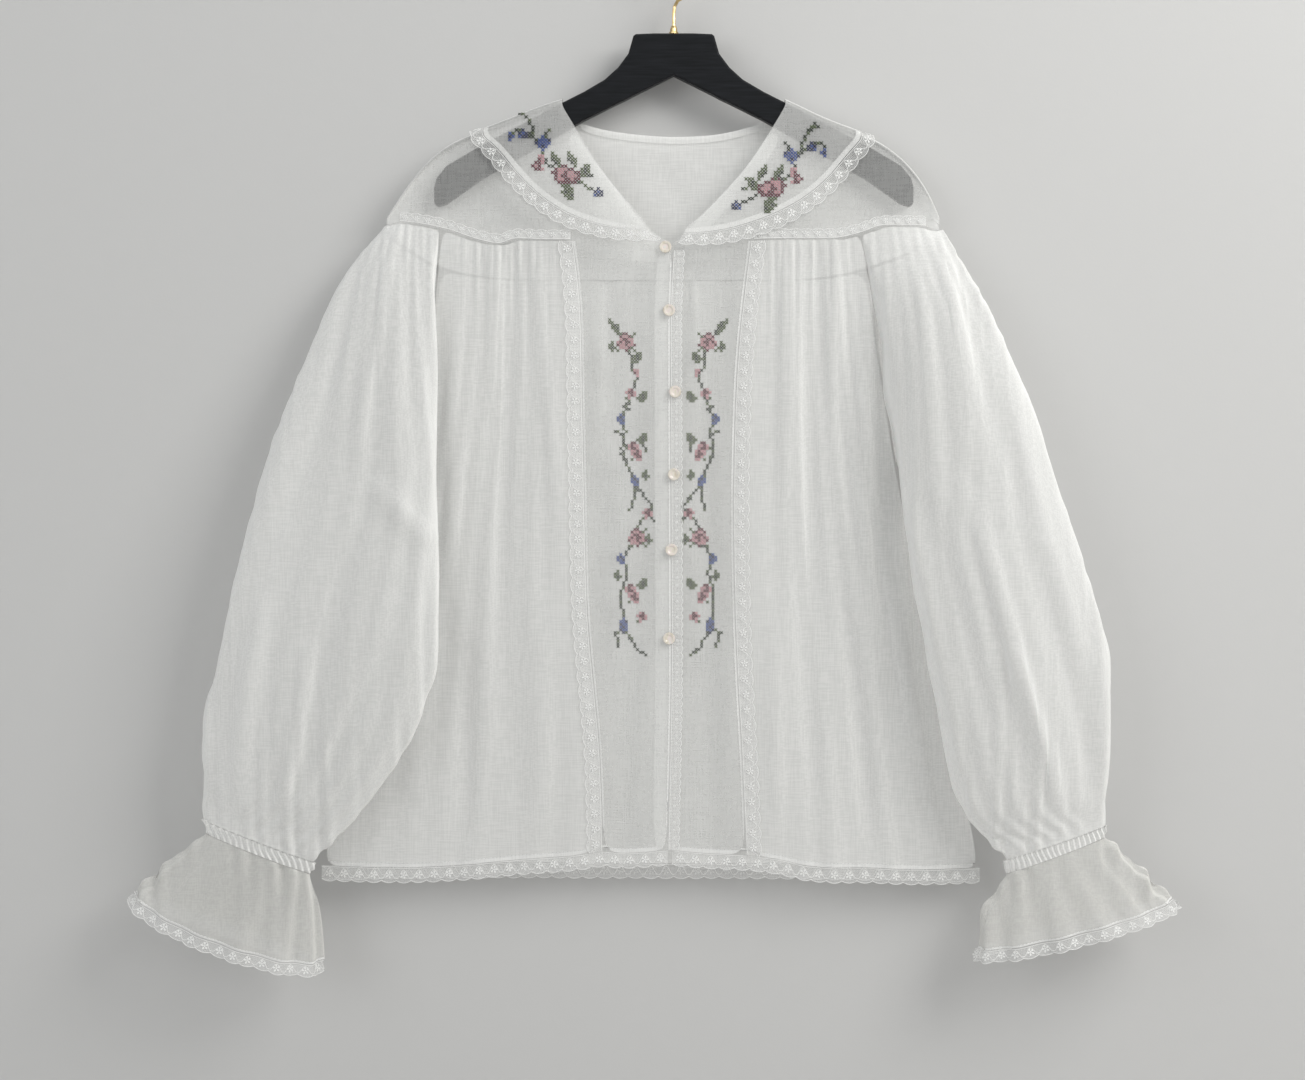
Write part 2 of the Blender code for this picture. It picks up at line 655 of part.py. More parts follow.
def sleeve(name, table, side, front_row, back_row, wrist, sign):
    columns = fold_columns([(a, a, *b) for a, *b in FOLDS_SLEEVE])
    columns.insert(1, (0.017, 0.017, 0, 0, 0))
    shares = [c[0] for c in columns]
    top = look(FRONT_YOKE, look(side, -217)) - SEAM
    back_top = look(BACK_YOKE, look(side, -250)) - SEAM
    lines = [head_line(front_row, back_row, side, sign)]
    for r, row in enumerate(table):
        level = ARMHOLE_ROWS[min(5, r + 1)]
        seam_z = mix(top, UNDERARM_Z, level)
        back_z = mix(back_top, UNDERARM_Z, level)
        xs = look(side, seam_z) + sign * (ARMHOLE_GAP / 2 + 0.4)
        armhole = r < 4
        row = list(row)
        if r < 5:
            row[6] = xs
            row[3] = seam_z
        if armhole:
            row[7] = -body_y(look(side, seam_z), seam_z)
        back_seam_y = body_y(look(side, back_z), back_z)
        back_x = look(side, back_z) + sign * (ARMHOLE_GAP / 2 + 0.4)
        lines.append(section(row, seam_z, back_z, armhole, r < 5, back_seam_y, back_x))
    for up in (9, SEAM + 0.5):
        lines.append(waved_ring(wrist[0], 0, 95, -up, 1 + 0.012 * up, -0.6))
        lines[-1] = np.vstack([lines[-1], lines[-1][:1]])
    grid = []
    for r, line in enumerate(lines):
        down = r / (len(lines) - 1)
        away = outward(line) * (1 if sign < 0 else -1)
        if r >= 5:
            away[-1] = away[0] = (away[0] + away[-1]) / 2
        ring = spread(line, shares)
        push = np.stack([np.interp(shares, np.linspace(0, 1, 96), away[:, k]) for k in range(2)], 1)
        heights = [(0.6 * c[2], c[2], c[3], c[4], 0.5 * c[4]) for c in columns]
        high = [np.interp(down, (0, 0.08, 0.5, 0.95, 1), h) for h in heights]
        ring[:, :2] += push * np.array(high)[:, None]
        if r == 0:
            for p in ring:
                row = front_row if p[1] < -3 else back_row
                if abs(p[1]) > 3 and abs(p[0]) < abs(row[0][0] if sign < 0 else row[-1][0]):
                    p[2] = lowest(row, p[0]) - HEAD_GAP
        grid.append(ring)
    grid = np.array(grid)
    for r in range(5, len(grid)):
        grid[r, -1] = grid[r, 0]
    faces_grid = grid if sign < 0 else grid[:, ::-1]
    sheet(name, faces_grid, "cloth", closed_from=5)
    return grid




# Wrist casings, cuff ruffles and their lace.


def waved_ring(row, waves, count, drop=0.0, grow=1.0, start=0.0):
    """A ring across the arm with waves round it, from a starting angle; drop moves it down."""
    xo, zo, xi, zi, ym, half, wave, sag = row
    outer = np.array((xo, 0, zo), float)
    inner = np.array((xi, 0, zi), float)
    across = inner - outer
    wide = np.linalg.norm(across) / 2
    across /= 2 * wide
    down = np.array((across[2], 0, -across[0]), float)
    down *= -1 if down[2] > 0 else 1
    middle = (outer + inner) / 2 + np.array((0, ym, 0)) + down * drop
    out = []
    for i in range(count):
        a = start + 2 * math.pi * i / count
        uneven = (0.8 + 0.2 * math.sin(2 * a + 0.7)) * (0.35 + 0.65 * math.sin(a) ** 2)
        w = wave * uneven * math.cos(waves * a + 0.5 * math.sin(3 * a + 1)) if waves else 0.0
        low = sag * max(0.0, math.sin(a)) + 0.3 * sag * max(0.0, -math.sin(a))
        p = middle + across * (wide * grow + w) * math.cos(a)
        p = p - np.array((0, 1, 0)) * (half + w) * math.sin(a) + down * low
        out.append(p)
    return np.array(out)


def turned(rings, sign):
    return rings if sign < 0 else [r[::-1] for r in rings]


def cuff(side, wrist, ruffle, sign):
    count = 2 * WRIST_RIDGES
    tube("wrist_" + side, turned([waved_ring(r, WRIST_RIDGES, count) for r in wrist], -sign), "cloth")
    count = 4 * RUFFLE_WAVES
    rings = [waved_ring(wrist[-1], RUFFLE_WAVES, count, 0.7)]
    rings += [waved_ring(r, RUFFLE_WAVES, count) for r in ruffle]
    tube("ruffle_" + side, turned(rings, -sign), "cloth")
    hem = rings[-1]
    step = hem - rings[-2]
    step /= np.linalg.norm(step, axis=1)[:, None]
    edge = [hem + step * 2 * SEAM, hem + step * CUFF_LACE_DROP]
    tube("ruffle_lace_" + side, turned(edge, -sign), "lace", LACE)


sleeve_left = sleeve("sleeve_left", SLEEVE_LEFT, SIDE_LEFT, front_edge_left, back_edge, WRIST_LEFT, -1)
sleeve_right = sleeve(
    "sleeve_right", SLEEVE_RIGHT, SIDE_RIGHT, front_edge_right, back_edge, WRIST_RIGHT, 1
)
cuff("left", WRIST_LEFT, RUFFLE_LEFT, -1)
cuff("right", WRIST_RIGHT, RUFFLE_RIGHT, 1)


# Collar, from tip to tip round the back, and its lace.


def over_shoulder(sign):
    """Columns of the collar over one shoulder, from front to back."""
    neck_x = 92 * sign
    hem_x = -157 if sign < 0 else 154
    lace_x = hem_x + 11.5 * sign
    out = []
    for turn in SHOULDER_TURNS:
        a = math.radians(turn)
        points = []
        for x in [mix(neck_x, hem_x, k / (COLLAR_ROWS - 1)) for k in range(COLLAR_ROWS)] + [
                hem_x + SEAM * sign, lace_x]:
            off = mix(1.6, 2.3, smooth((abs(x) - 92) / 30))
            deep = (FOLD_DEPTH + off) * abs(math.cos(a)) ** (2 / 3)
            y = -deep if turn <= 90 else deep
            drop = (fold_height(x) + off) * (1 - math.sin(a) ** (2 / 3))
            points.append((x, y, look(SHOULDER, x) + off - drop))
        out.append(points)
    return out


def collar_columns(table, surface, sign):
    out = []
    for neck_x, neck_z, hem_x, hem_z, lace_x, lace_z, off in table:
        points = []
        places = [(mix(neck_x, hem_x, k / (COLLAR_ROWS - 1)), mix(neck_z, hem_z, k / (COLLAR_ROWS - 1)))
                  for k in range(COLLAR_ROWS)]
        long = math.hypot(lace_x - hem_x, lace_z - hem_z)
        places.append((mix(hem_x, lace_x, SEAM / long), mix(hem_z, lace_z, SEAM / long)))
        places.append((lace_x, lace_z))
        for x, z in places:
            points.append((x, surface(x, z) + sign * off, z))
        out.append(points)
    return out


collar_grid = collar_columns(COLLAR_FRONT_LEFT, front_y, -1)
collar_grid += over_shoulder(-1)
collar_grid += collar_columns(COLLAR_BACK, back_y, 1)
collar_grid += over_shoulder(1)[::-1]
collar_grid += collar_columns(COLLAR_FRONT_RIGHT, front_y, -1)
collar_grid = np.array(collar_grid, float).transpose(1, 0, 2)
sheet("collar", collar_grid[:COLLAR_ROWS], "cloth")
sheet("collar_lace", collar_grid[COLLAR_ROWS:], "lace", LACE)


# What lies on the panels: facings, laces, the button band.


def strip(name, first, second, slot, wall, flip=False):
    """A narrow sheet between two lines of points."""
    grid = np.array([first, second], float)
    sheet(name, grid[:, ::-1] if flip else grid, slot, wall)


def neck_facing(name, sign):
    xs = [sign * v for v in (80, 70, 58, 46, 34, 22, 12)]
    top = []
    low = []
    for x in xs:
        z = look(NECK, x)
        slope = np.array((look(NECK, x + 4) - look(NECK, x - 4), -8.0))
        slope /= np.linalg.norm(slope)
        slope *= 1 if slope[0] * sign > 0 else -1
        lx = x + slope[0] * FACING_WIDTH
        lz = z - abs(slope[1]) * FACING_WIDTH
        top.append((x, front_y(x, z - 0.5) + LAYER, z - 0.5))
        low.append((lx, front_y(lx, lz) + LAYER, lz))
    strip(name, top, low, "cloth", LACE, flip=sign > 0)


neck_facing("neck_facing_left", -1)
neck_facing("neck_facing_right", 1)
xs = (-78, -67, -50, -32, -15, 0, 15, 32, 50, 67, 78)
top = [(x, back_y(x, look(BACK_NECK, x)) - LAYER, look(BACK_NECK, x) - 0.5) for x in xs]
low = [(x, back_y(x, look(BACK_NECK, x) - 6) - LAYER, look(BACK_NECK, x) - BACK_FACING_WIDTH) for x in xs]
strip("neck_facing_back", top, low, "cloth", LACE)


def yoke_lace(name, edge, xs):
    low = []
    top = []
    for x in xs:
        z = look(edge, x)
        low.append((x, front_y(x, z + 0.6) - LAYER, z + 0.6))
        top.append((x, front_y(x, z + YOKE_LACE_WIDTH) - LAYER, z + YOKE_LACE_WIDTH))
    strip(name, top, low, "lace", LACE)


xs_left = (-226, -214, -201, -192, -184, -173, -162, -153, -144, -138, -132, -121, -111, -97, -85)
xs_right = (66, 77, 88, 99, 111, 123, 136, 145, 155, 162, 169, 177, 185, 197, 208)
yoke_lace("yoke_lace_left", front_edge_left, xs_left)
yoke_lace("yoke_lace_right", front_edge_right, xs_right)


def seam_lace(name, grid, sign):
    """Lace on the flat strip of a side panel beside the centre seam."""
    near = []
    far = []
    for a, b in zip(grid[:, 0], grid[:, 1]):
        long = abs(b[0] - a[0])
        p = mix(a, b, 0.3 / long)
        q = mix(a, b, SEAM_LACE_WIDTH / long)
        near.append(p - (0, LAYER, 0))
        far.append(q - (0, LAYER, 0))
    strip(name, near, far, "lace", LACE, flip=sign > 0)


seam_lace("seam_lace_left", side_left[:, :2], -1)
seam_lace("seam_lace_right", side_right[:, :2], 1)

zs = [mix(-239.5, -733, r / 12) for r in range(13)]
edge = [look(OPENING, z) for z in zs]
band = [[(x - PLACKET_WIDTH * k, front_y(x - PLACKET_WIDTH * k, z) - LAYER, z) for k in (1, 0.5, 0.03)]
        for x, z in zip(edge, zs)]
sheet("placket", band, "cloth")
near = [(x + 0.3, front_y(x, z) - LAYER, z) for x, z in zip(edge, zs)]
far = [(x + PLACKET_LACE_WIDTH, front_y(x, z) - LAYER, z) for x, z in zip(edge, zs)]
strip("placket_lace", near, far, "lace", LACE, flip=True)


def hem_lace(name, line, flip):
    top = [p - (0, 0, SEAM) for p in line]
    low = [p - (0, 0, HEM_LACE_DROP) for p in line]
    strip(name, top, low, "lace", LACE, flip)


hem_lace("hem_lace_front_left", list(side_left[-1][::-1]) + list(front_left[-1, outer_left:]), False)
hem_lace("hem_lace_front_right", list(front_right[-1, outer_right:-1][::-1]) + list(side_right[-1]), False)
hem_lace("hem_lace_back", list(back[-1]), True)


# Buttons, hanger, nut and hook.


def turned_piece(name, profile, steps, place, slot, tilt=0.0):
    """A turned solid: the profile, radius and height along the axis, spun right round."""
    bm = bmesh.new()
    corners = [bm.verts.new((r * MM, 0, z * MM)) for r, z in profile]
    edges = [bm.edges.new(pair) for pair in zip(corners, corners[1:] + corners[:1])]
    if profile[0][0] == 0:
        bm.edges.remove(edges.pop())
    bmesh.ops.spin(bm, geom=corners + edges, axis=(0, 0, 1), cent=(0, 0, 0), steps=steps, angle=math.tau)
    bmesh.ops.remove_doubles(bm, verts=bm.verts, dist=0.00001)
    bmesh.ops.recalc_face_normals(bm, faces=bm.faces)
    mesh = bpy.data.meshes.new(name)
    bm.to_mesh(mesh)
    bm.free()
    made = add(name, mesh, slot)
    made.location = [v * MM for v in place]
    made.rotation_euler = (tilt, 0, 0)
    return made


BUTTON_PROFILE = ((0, 0.0), (0.86, 0.0), (1.0, 0.4), (0.9, 1.0), (0.62, 0.95), (0.45, 0.7), (0, 0.7))
for number, (x, z) in enumerate(BUTTONS, 1):
    base = front_y(x, z) - LAYER - CLOTH / 2 - 0.3
    profile = [(BUTTON_RADIUS * r, BUTTON_THICKNESS * d) for r, d in BUTTON_PROFILE]
    turned_piece("button_%d" % number, profile, 12, (x, base, z), "shell_button", math.pi / 2)

bm = bmesh.new()
half = list(HANGER)
outline = [(-x, top) for x, top, low in reversed(half[1:])] + [(x, top) for x, top, low in half]
outline += [(x, low) for x, top, low in reversed(half)] + [(-x, low) for x, top, low in half[1:]]
face = bm.faces.new([bm.verts.new((x * MM, HANGER_HALF * MM, z * MM)) for x, z in outline])
pulled = bmesh.ops.extrude_face_region(bm, geom=[face])["geom"]
moved = [item for item in pulled if isinstance(item, bmesh.types.BMVert)]
bmesh.ops.translate(bm, verts=moved, vec=(0, -2 * HANGER_HALF * MM, 0))
bmesh.ops.recalc_face_normals(bm, faces=bm.faces)
mesh = bpy.data.meshes.new("hanger")
bm.to_mesh(mesh)
bm.free()
hanger = add("hanger", mesh, "black_wood")
mesh.shade_flat()
bevel = hanger.modifiers.new("edge", "BEVEL")
bevel.width = HANGER_BEVEL * MM
bevel.segments = 1
bevel.limit_method = "ANGLE"
bevel.angle_limit = math.radians(60)

NUT_PROFILE = (
    (1.8, -59.0), (3.8, -59.0), (3.8, -57.6), (3.1, -57.2), (2.9, -54.5), (2.2, -52.6), (1.8, -52.4),
)
turned_piece("hook_nut", NUT_PROFILE, 12, (0, 0, 0), "brass")

# The hook's wire: up from the nut, then round over the top to its tip.
centre = WIRE_RADIUS - HOOK_RADIUS
path = [(0, -59), (0, -50), (0, -42), (0.6, -36.5), (3.2, -31.6)]
for turn in range(-58, 192, 18):
    a = math.radians(turn)
    path.append((HOOK_RADIUS * math.cos(a), centre + HOOK_RADIUS * math.sin(a)))
wire = bpy.data.curves.new("hook", "CURVE")
wire.dimensions = "3D"
wire.bevel_depth = WIRE_RADIUS * MM
wire.bevel_resolution = 2
wire.use_fill_caps = True
spline = wire.splines.new("POLY")
spline.points.add(len(path) - 1)
for point, (x, z) in zip(spline.points, path):
    point.co = (x * MM, 0, z * MM, 1)
wire.materials.append(material("brass"))
hook = bpy.data.objects.new("hook", wire)
bpy.context.scene.collection.objects.link(hook)
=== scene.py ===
import math

import bmesh
import bpy
import numpy as np
from mathutils import Matrix, Vector
from mathutils.bvhtree import BVHTree
from mathutils.kdtree import KDTree


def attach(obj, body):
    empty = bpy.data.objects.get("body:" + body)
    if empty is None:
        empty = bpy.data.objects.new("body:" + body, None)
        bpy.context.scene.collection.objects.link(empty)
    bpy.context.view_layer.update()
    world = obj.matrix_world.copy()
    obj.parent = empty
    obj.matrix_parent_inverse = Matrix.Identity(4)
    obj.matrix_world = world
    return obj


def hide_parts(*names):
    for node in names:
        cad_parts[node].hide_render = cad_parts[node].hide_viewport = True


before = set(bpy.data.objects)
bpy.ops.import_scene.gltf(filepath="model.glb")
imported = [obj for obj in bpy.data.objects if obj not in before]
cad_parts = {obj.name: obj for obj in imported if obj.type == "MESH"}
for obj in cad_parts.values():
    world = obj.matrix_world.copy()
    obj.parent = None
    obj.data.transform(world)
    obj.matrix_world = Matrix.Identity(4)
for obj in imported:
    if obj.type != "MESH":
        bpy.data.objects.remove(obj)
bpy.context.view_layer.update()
MM = 0.001


# The hanger: a flat board cut from black lacquered wood, with a bevelled edge.
# Its brass wire hook screws into a small domed nut at the middle of the top.

def shader(name, colour, roughness, metallic=0.0, specular=0.5):
    """A new material, its node tree and its Principled shader."""
    material = bpy.data.materials.new(name)
    material.use_nodes = True
    tree = material.node_tree
    surface = tree.nodes["Principled BSDF"]
    surface.inputs["Base Color"].default_value = (*colour, 1)
    surface.inputs["Roughness"].default_value = roughness
    surface.inputs["Metallic"].default_value = metallic
    surface.inputs["Specular IOR Level"].default_value = specular
    return material, tree, surface


def node(tree, kind, values=(), **settings):
    """A node with its settings, and constants for the named sockets."""
    made = tree.nodes.new(kind)
    for key, value in settings.items():
        setattr(made, key, value)
    for key, value in dict(values).items():
        made.inputs[key].default_value = value
    return made


def stretched_noise(tree, stretch, scale, detail=2.0):
    """Noise on object coordinates, drawn out along the axes with the small factors."""
    place = node(tree, "ShaderNodeTexCoord")
    turn = node(tree, "ShaderNodeMapping", {"Scale": stretch})
    noise = node(tree, "ShaderNodeTexNoise", {"Scale": scale, "Detail": detail})
    tree.links.new(place.outputs["Object"], turn.inputs["Vector"])
    tree.links.new(turn.outputs["Vector"], noise.inputs["Vector"])
    return noise.outputs["Fac"]


def tinted(tree, surface, value, stops):
    """Colours the surface by a ramp over a value, from (position, colour) stops."""
    made = node(tree, "ShaderNodeValToRGB")
    band = made.color_ramp
    while len(band.elements) < len(stops):
        band.elements.new(0.5)
    for element, (position, colour) in zip(band.elements, stops):
        element.position = position
        element.color = (*colour, 1)
    tree.links.new(value, made.inputs["Fac"])
    tree.links.new(made.outputs["Color"], surface.inputs["Base Color"])


def bump(tree, surface, height, strength, distance):
    """Raises the surface by a height texture."""
    made = node(tree, "ShaderNodeBump", {"Strength": strength, "Distance": distance})
    tree.links.new(height, made.inputs["Height"])
    tree.links.new(made.outputs["Normal"], surface.inputs["Normal"])


def set_material(piece, material):
    piece.data.materials.clear()
    piece.data.materials.append(material)


wood, tree, surface = shader("black_lacquered_wood", (0.008, 0.009, 0.011), 0.42, specular=0.25)
grain = stretched_noise(tree, (4, 60, 60), 9.0, detail=6.0)
tinted(tree, surface, grain, ((0.35, (0.004, 0.005, 0.006)), (0.75, (0.012, 0.013, 0.016))))
bump(tree, surface, grain, 0.25, 0.3 * MM)
set_material(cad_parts["hanger"], wood)

brass, tree, surface = shader("brass_wire", (0.70, 0.52, 0.25), 0.28, metallic=1.0)
tarnish = stretched_noise(tree, (1, 1, 1), 240.0)
tinted(tree, surface, tarnish, ((0.3, (0.52, 0.37, 0.17)), (0.7, (0.80, 0.62, 0.33))))
bump(tree, surface, tarnish, 0.15, 0.1 * MM)
for name in ("hook", "hook_nut"):
    set_material(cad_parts[name], brass)


# The back yoke and the back: a sheer off-white ramie in plain weave, unlined.
# Every panel is one sheet that hangs in the middle of its solid's wall.
# The back is gathered into the yoke, so its folds start at that seam.

CLOTH_WALL = 1.2 * MM
LACE_WALL = 1.0 * MM
# The creases' tables give gentle heights, and this gain brings out their shadows.
FOLD_GAIN = 2.9
# How fast sheer cloth gets denser as it turns away, and the turn at which it gets no denser.
SLANT_GAIN = 1.7
LEAST_FACING = 0.3
FRONT = (0, -1, 0)
BACK = (0, 1, 0)


def middle_sheet(name, outside, wall=CLOTH_WALL):
    """The sheet halfway through a node's wall, as a bmesh of quads whose faces look outside.

    outside is the way the sheet faces, or None for a tube, whose sheet faces away from its middle.
    """
    bm = bmesh.new()
    bm.from_mesh(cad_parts[name].data)
    bmesh.ops.remove_doubles(bm, verts=bm.verts, dist=0.01 * MM)
    bm.verts.ensure_lookup_table()
    tree = KDTree(len(bm.verts))
    for v in bm.verts:
        tree.insert(v.co, v.index)
    tree.balance()
    across = {}
    for v in bm.verts:
        near = [(abs(d - wall), i) for co, i, d in tree.find_range(v.co, 1.3 * wall) if d > 0.7 * wall]
        across[v] = bm.verts[min(near)[1]] if near else v
    middle = {v: (v.co + w.co) / 2 for v, w in across.items()}
    rim = [f for f in bm.faces if any(across[v] in f.verts for v in f.verts if across[v] is not v)]
    bmesh.ops.delete(bm, geom=rim, context="FACES")
    centre = sum(middle.values(), Vector()) / len(middle)
    kept = set()
    left = set(bm.faces)
    best = -1e9
    while left:
        island = {left.pop()}
        edge = list(island)
        while edge:
            near = {g for e in edge.pop().edges for g in e.link_faces} - island
            island |= near
            edge += near
        left -= island
        if outside is None:
            score = sum(f.calc_area() * f.normal.dot(f.calc_center_median() - centre) for f in island)
        else:
            score = sum(f.calc_area() * f.normal.dot(Vector(outside)) for f in island)
        if score > best:
            best = score
            kept = island
    bmesh.ops.delete(bm, geom=[f for f in bm.faces if f not in kept], context="FACES")
    for v in bm.verts:
        v.co = middle[v]
    bmesh.ops.join_triangles(bm, faces=bm.faces, angle_face_threshold=3.1, angle_shape_threshold=3.1)
    return bm


def new_piece(name, mesh):
    piece = bpy.data.objects.new(name, mesh)
    bpy.context.collection.objects.link(piece)
    return piece


def settle(piece):
    """Turns a piece and its modifiers into a plain mesh."""
    bpy.context.view_layer.update()
    made = bpy.data.meshes.new_from_object(piece.evaluated_get(bpy.context.evaluated_depsgraph_get()))
    piece.modifiers.clear()
    old = piece.data
    piece.data = made
    bpy.data.meshes.remove(old)


def refined(name, bm, levels):
    """A new piece from the sheet, rounded by that many levels of subdivision."""
    mesh = bpy.data.meshes.new(name)
    bm.to_mesh(mesh)
    bm.free()
    piece = new_piece(name, mesh)
    rounder = piece.modifiers.new("rounder", "SUBSURF")
    rounder.levels = levels
    rounder.render_levels = levels
    settle(piece)
    return piece


def points_of(mesh, kind="co"):
    data = np.zeros(len(mesh.vertices) * 3, np.float32)
    mesh.vertices.foreach_get(kind, data)
    return data.reshape(-1, 3).astype(float)


def lift(piece, height):
    """Moves a piece's points out along its normals by heights in mm."""
    mesh = piece.data
    co = points_of(mesh) + points_of(mesh, "normal") * (height * MM)[:, None]
    mesh.vertices.foreach_set("co", co.astype(np.float32).ravel())
    mesh.update()


def creases(piece, rows, side=0):
    """Raises soft ridges, and sinks troughs, each from one point of the sheet to another.

    rows has x1, z1, x2, z2, half width and height in mm; side picks a tube's front, -1, or back, 1.
    A crease wanders a little off its line and dies out at both ends.
    """
    co = points_of(piece.data) / MM
    height = np.zeros(len(co))
    for x1, z1, x2, z2, width, high in rows:
        dx = x2 - x1
        dz = z2 - z1
        long = math.hypot(dx, dz)
        along = ((co[:, 0] - x1) * dx + (co[:, 2] - z1) * dz) / long ** 2
        off = ((co[:, 0] - x1) * dz - (co[:, 2] - z1) * dx) / long
        off += 0.02 * long * np.sin(2.6 * along + x1)
        ends = np.clip(along, 0, 1) * np.clip(1 - along, 0, 1) * 4
        height += FOLD_GAIN * high * np.exp(-(off / width) ** 2) * ends ** 0.7
    if side:
        facing = points_of(piece.data, "normal")[:, 1] * side
        height *= np.clip(2.5 * facing, 0, 1)
    lift(piece, height)


def gathers(piece, seam_z, depth, pitch, high, seed, rising=False):
    """Uneven ripples that start at a gathered seam and die out over depth, all in mm.

    They fall from the seam, or rise from it: two rows of waves that lean into each other.
    """
    co = points_of(piece.data) / MM
    x = co[:, 0]
    down = (seam_z(x) - co[:, 2]) / (-depth if rising else depth)
    lean = 4 * np.sin(x / 37 + seed) * np.clip(down, 0, 1)
    waves = np.sin(2 * math.pi * (x + lean) / pitch + seed)
    waves += 0.7 * np.sin(2 * math.pi * (x - lean) / (0.63 * pitch) + 2 * seed)
    uneven = 0.6 + 0.4 * np.sin(x / 19 + seed)
    fade = np.exp(-np.clip(down, 0, 9) * 2.2) * np.clip(0.35 + down * 14, 0, 1)
    lift(piece, high * waves * uneven * fade)


def note_slant(piece):
    """Smooths a sheet and notes how far each point turns from the flat, where sheer cloth looks denser."""
    facing = np.abs(points_of(piece.data, "normal")[:, 1])
    slant = piece.data.attributes.new("slant", "FLOAT", "POINT")
    slant.data.foreach_set("value", (1 / np.clip(facing, LEAST_FACING, 1) ** SLANT_GAIN).astype(np.float32))
    piece.data.shade_smooth()


def cloth(piece, material, replaced):
    """Finishes a sheet: in its material, in the place of its nodes."""
    note_slant(piece)
    set_material(piece, material)
    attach(piece, "root")
    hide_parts(*replaced)


def woven(name, colour, cover):
    """A sheer plain weave: warp and weft bands in relief, and faint slubs; it is denser where it slants."""
    material, tree, surface = shader(name, colour, 0.78, specular=0.2)
    place = node(tree, "ShaderNodeTexCoord")
    bands = []
    for way in ("X", "Z"):
        band = node(tree, "ShaderNodeTexWave", {"Scale": 310.0}, bands_direction=way)
        tree.links.new(place.outputs["Object"], band.inputs["Vector"])
        bands.append(band.outputs["Fac"])
    threads = node(tree, "ShaderNodeMath", operation="MAXIMUM")
    for i in (0, 1):
        tree.links.new(bands[i], threads.inputs[i])
    slubs = node(tree, "ShaderNodeMath", operation="ADD")
    for i, stretch in enumerate(((1, 1, 0.06), (0.06, 1, 1))):
        tree.links.new(stretched_noise(tree, stretch, 1000.0, detail=0.0), slubs.inputs[i])
    slant = node(tree, "ShaderNodeAttribute", attribute_name="slant")
    gap = node(tree, "ShaderNodeMapRange", {"From Min": 0.7, "From Max": 1.3,
                                            "To Min": 1 - cover * 0.94, "To Max": 1 - cover * 1.06})
    tree.links.new(slubs.outputs["Value"], gap.inputs["Value"])
    through = node(tree, "ShaderNodeMath", operation="POWER")
    tree.links.new(gap.outputs["Result"], through.inputs[0])
    tree.links.new(slant.outputs["Fac"], through.inputs[1])
    dense = node(tree, "ShaderNodeMath", {0: 1.0}, operation="SUBTRACT")
    tree.links.new(through.outputs["Value"], dense.inputs[1])
    tree.links.new(dense.outputs["Value"], surface.inputs["Alpha"])
    half = node(tree, "ShaderNodeMath", {1: 0.5}, operation="MULTIPLY")
    tree.links.new(slubs.outputs["Value"], half.inputs[0])
    pale = tuple(min(1.0, c * 1.02) for c in colour)
    dull = tuple(c * 0.98 for c in colour)
    tinted(tree, surface, half.outputs["Value"], ((0.4, dull), (0.6, pale)))
    bump(tree, surface, threads.outputs["Value"], 0.25, 0.08 * MM)
    surface.inputs["Sheen Weight"].default_value = 0.1
    surface.inputs["Sheen Roughness"].default_value = 0.5
    return material


ramie = woven("sheer_ramie", (0.95, 0.95, 0.925), 0.27)
gathered_ramie = woven("gathered_ramie", (0.95, 0.95, 0.925), 0.45)
back_ramie = woven("back_ramie", (0.95, 0.95, 0.925), 0.55)


def lowest_line(piece, columns=60, low=True):
    """How high a sheet's lower or upper edge is at each x, as a function in mm."""
    co = points_of(piece.data) / MM
    at = np.linspace(co[:, 0].min(), co[:, 0].max(), columns)
    half = (at[1] - at[0]) * 0.8
    pick = min if low else max
    edge = [pick(co[abs(co[:, 0] - x) < half, 2]) for x in at]
    return lambda x: np.interp(x, at, edge)


back_yoke = refined("back_yoke_cloth", middle_sheet("back_yoke", BACK), 2)
creases(back_yoke, ((-150, -150, -90, -225, 9, 0.8), (120, -150, 70, -228, 11, -0.8),
                    (-20, -160, 25, -225, 12, 0.6)))
cloth(back_yoke, back_ramie, ["back_yoke"])

back = refined("back_cloth", middle_sheet("back", BACK), 3)
gathers(back, lowest_line(back, low=False), 120, 11, 0.7, 1.3)
creases(back, ((-150, -250, -168, -560, 11, 1.4), (-118, -245, -112, -420, 8, 1.2),
               (-84, -250, -92, -640, 12, -1.3), (-52, -240, -40, -480, 9, 1.5),
               (-20, -245, -28, -700, 13, 1.2), (14, -240, 22, -390, 8, -1.2),
               (40, -250, 52, -600, 12, 1.5), (78, -245, 70, -450, 9, 1.1),
               (112, -250, 128, -700, 13, -1.4), (150, -255, 168, -520, 10, 1.3)))
cloth(back, back_ramie, ["back"])


# The embroidery: cross stitch in six shades of cotton floss, counted on the weave before making up.
# Each stitch is two short threads, one over the other.

def pattern_tree(name, sizes):
    """A node tree for a repeated shape, with named inputs for its sizes in metres and its material."""
    tree = bpy.data.node_groups.new(name, "GeometryNodeTree")
    tree.interface.new_socket("Geometry", in_out="INPUT", socket_type="NodeSocketGeometry")
    for label, size in sizes.items():
        tree.interface.new_socket(label, in_out="INPUT", socket_type="NodeSocketFloat").default_value = size
    tree.interface.new_socket("Material", in_out="INPUT", socket_type="NodeSocketMaterial")
    tree.interface.new_socket("Geometry", in_out="OUTPUT", socket_type="NodeSocketGeometry")
    return tree, node(tree, "NodeGroupInput"), node(tree, "NodeGroupOutput")


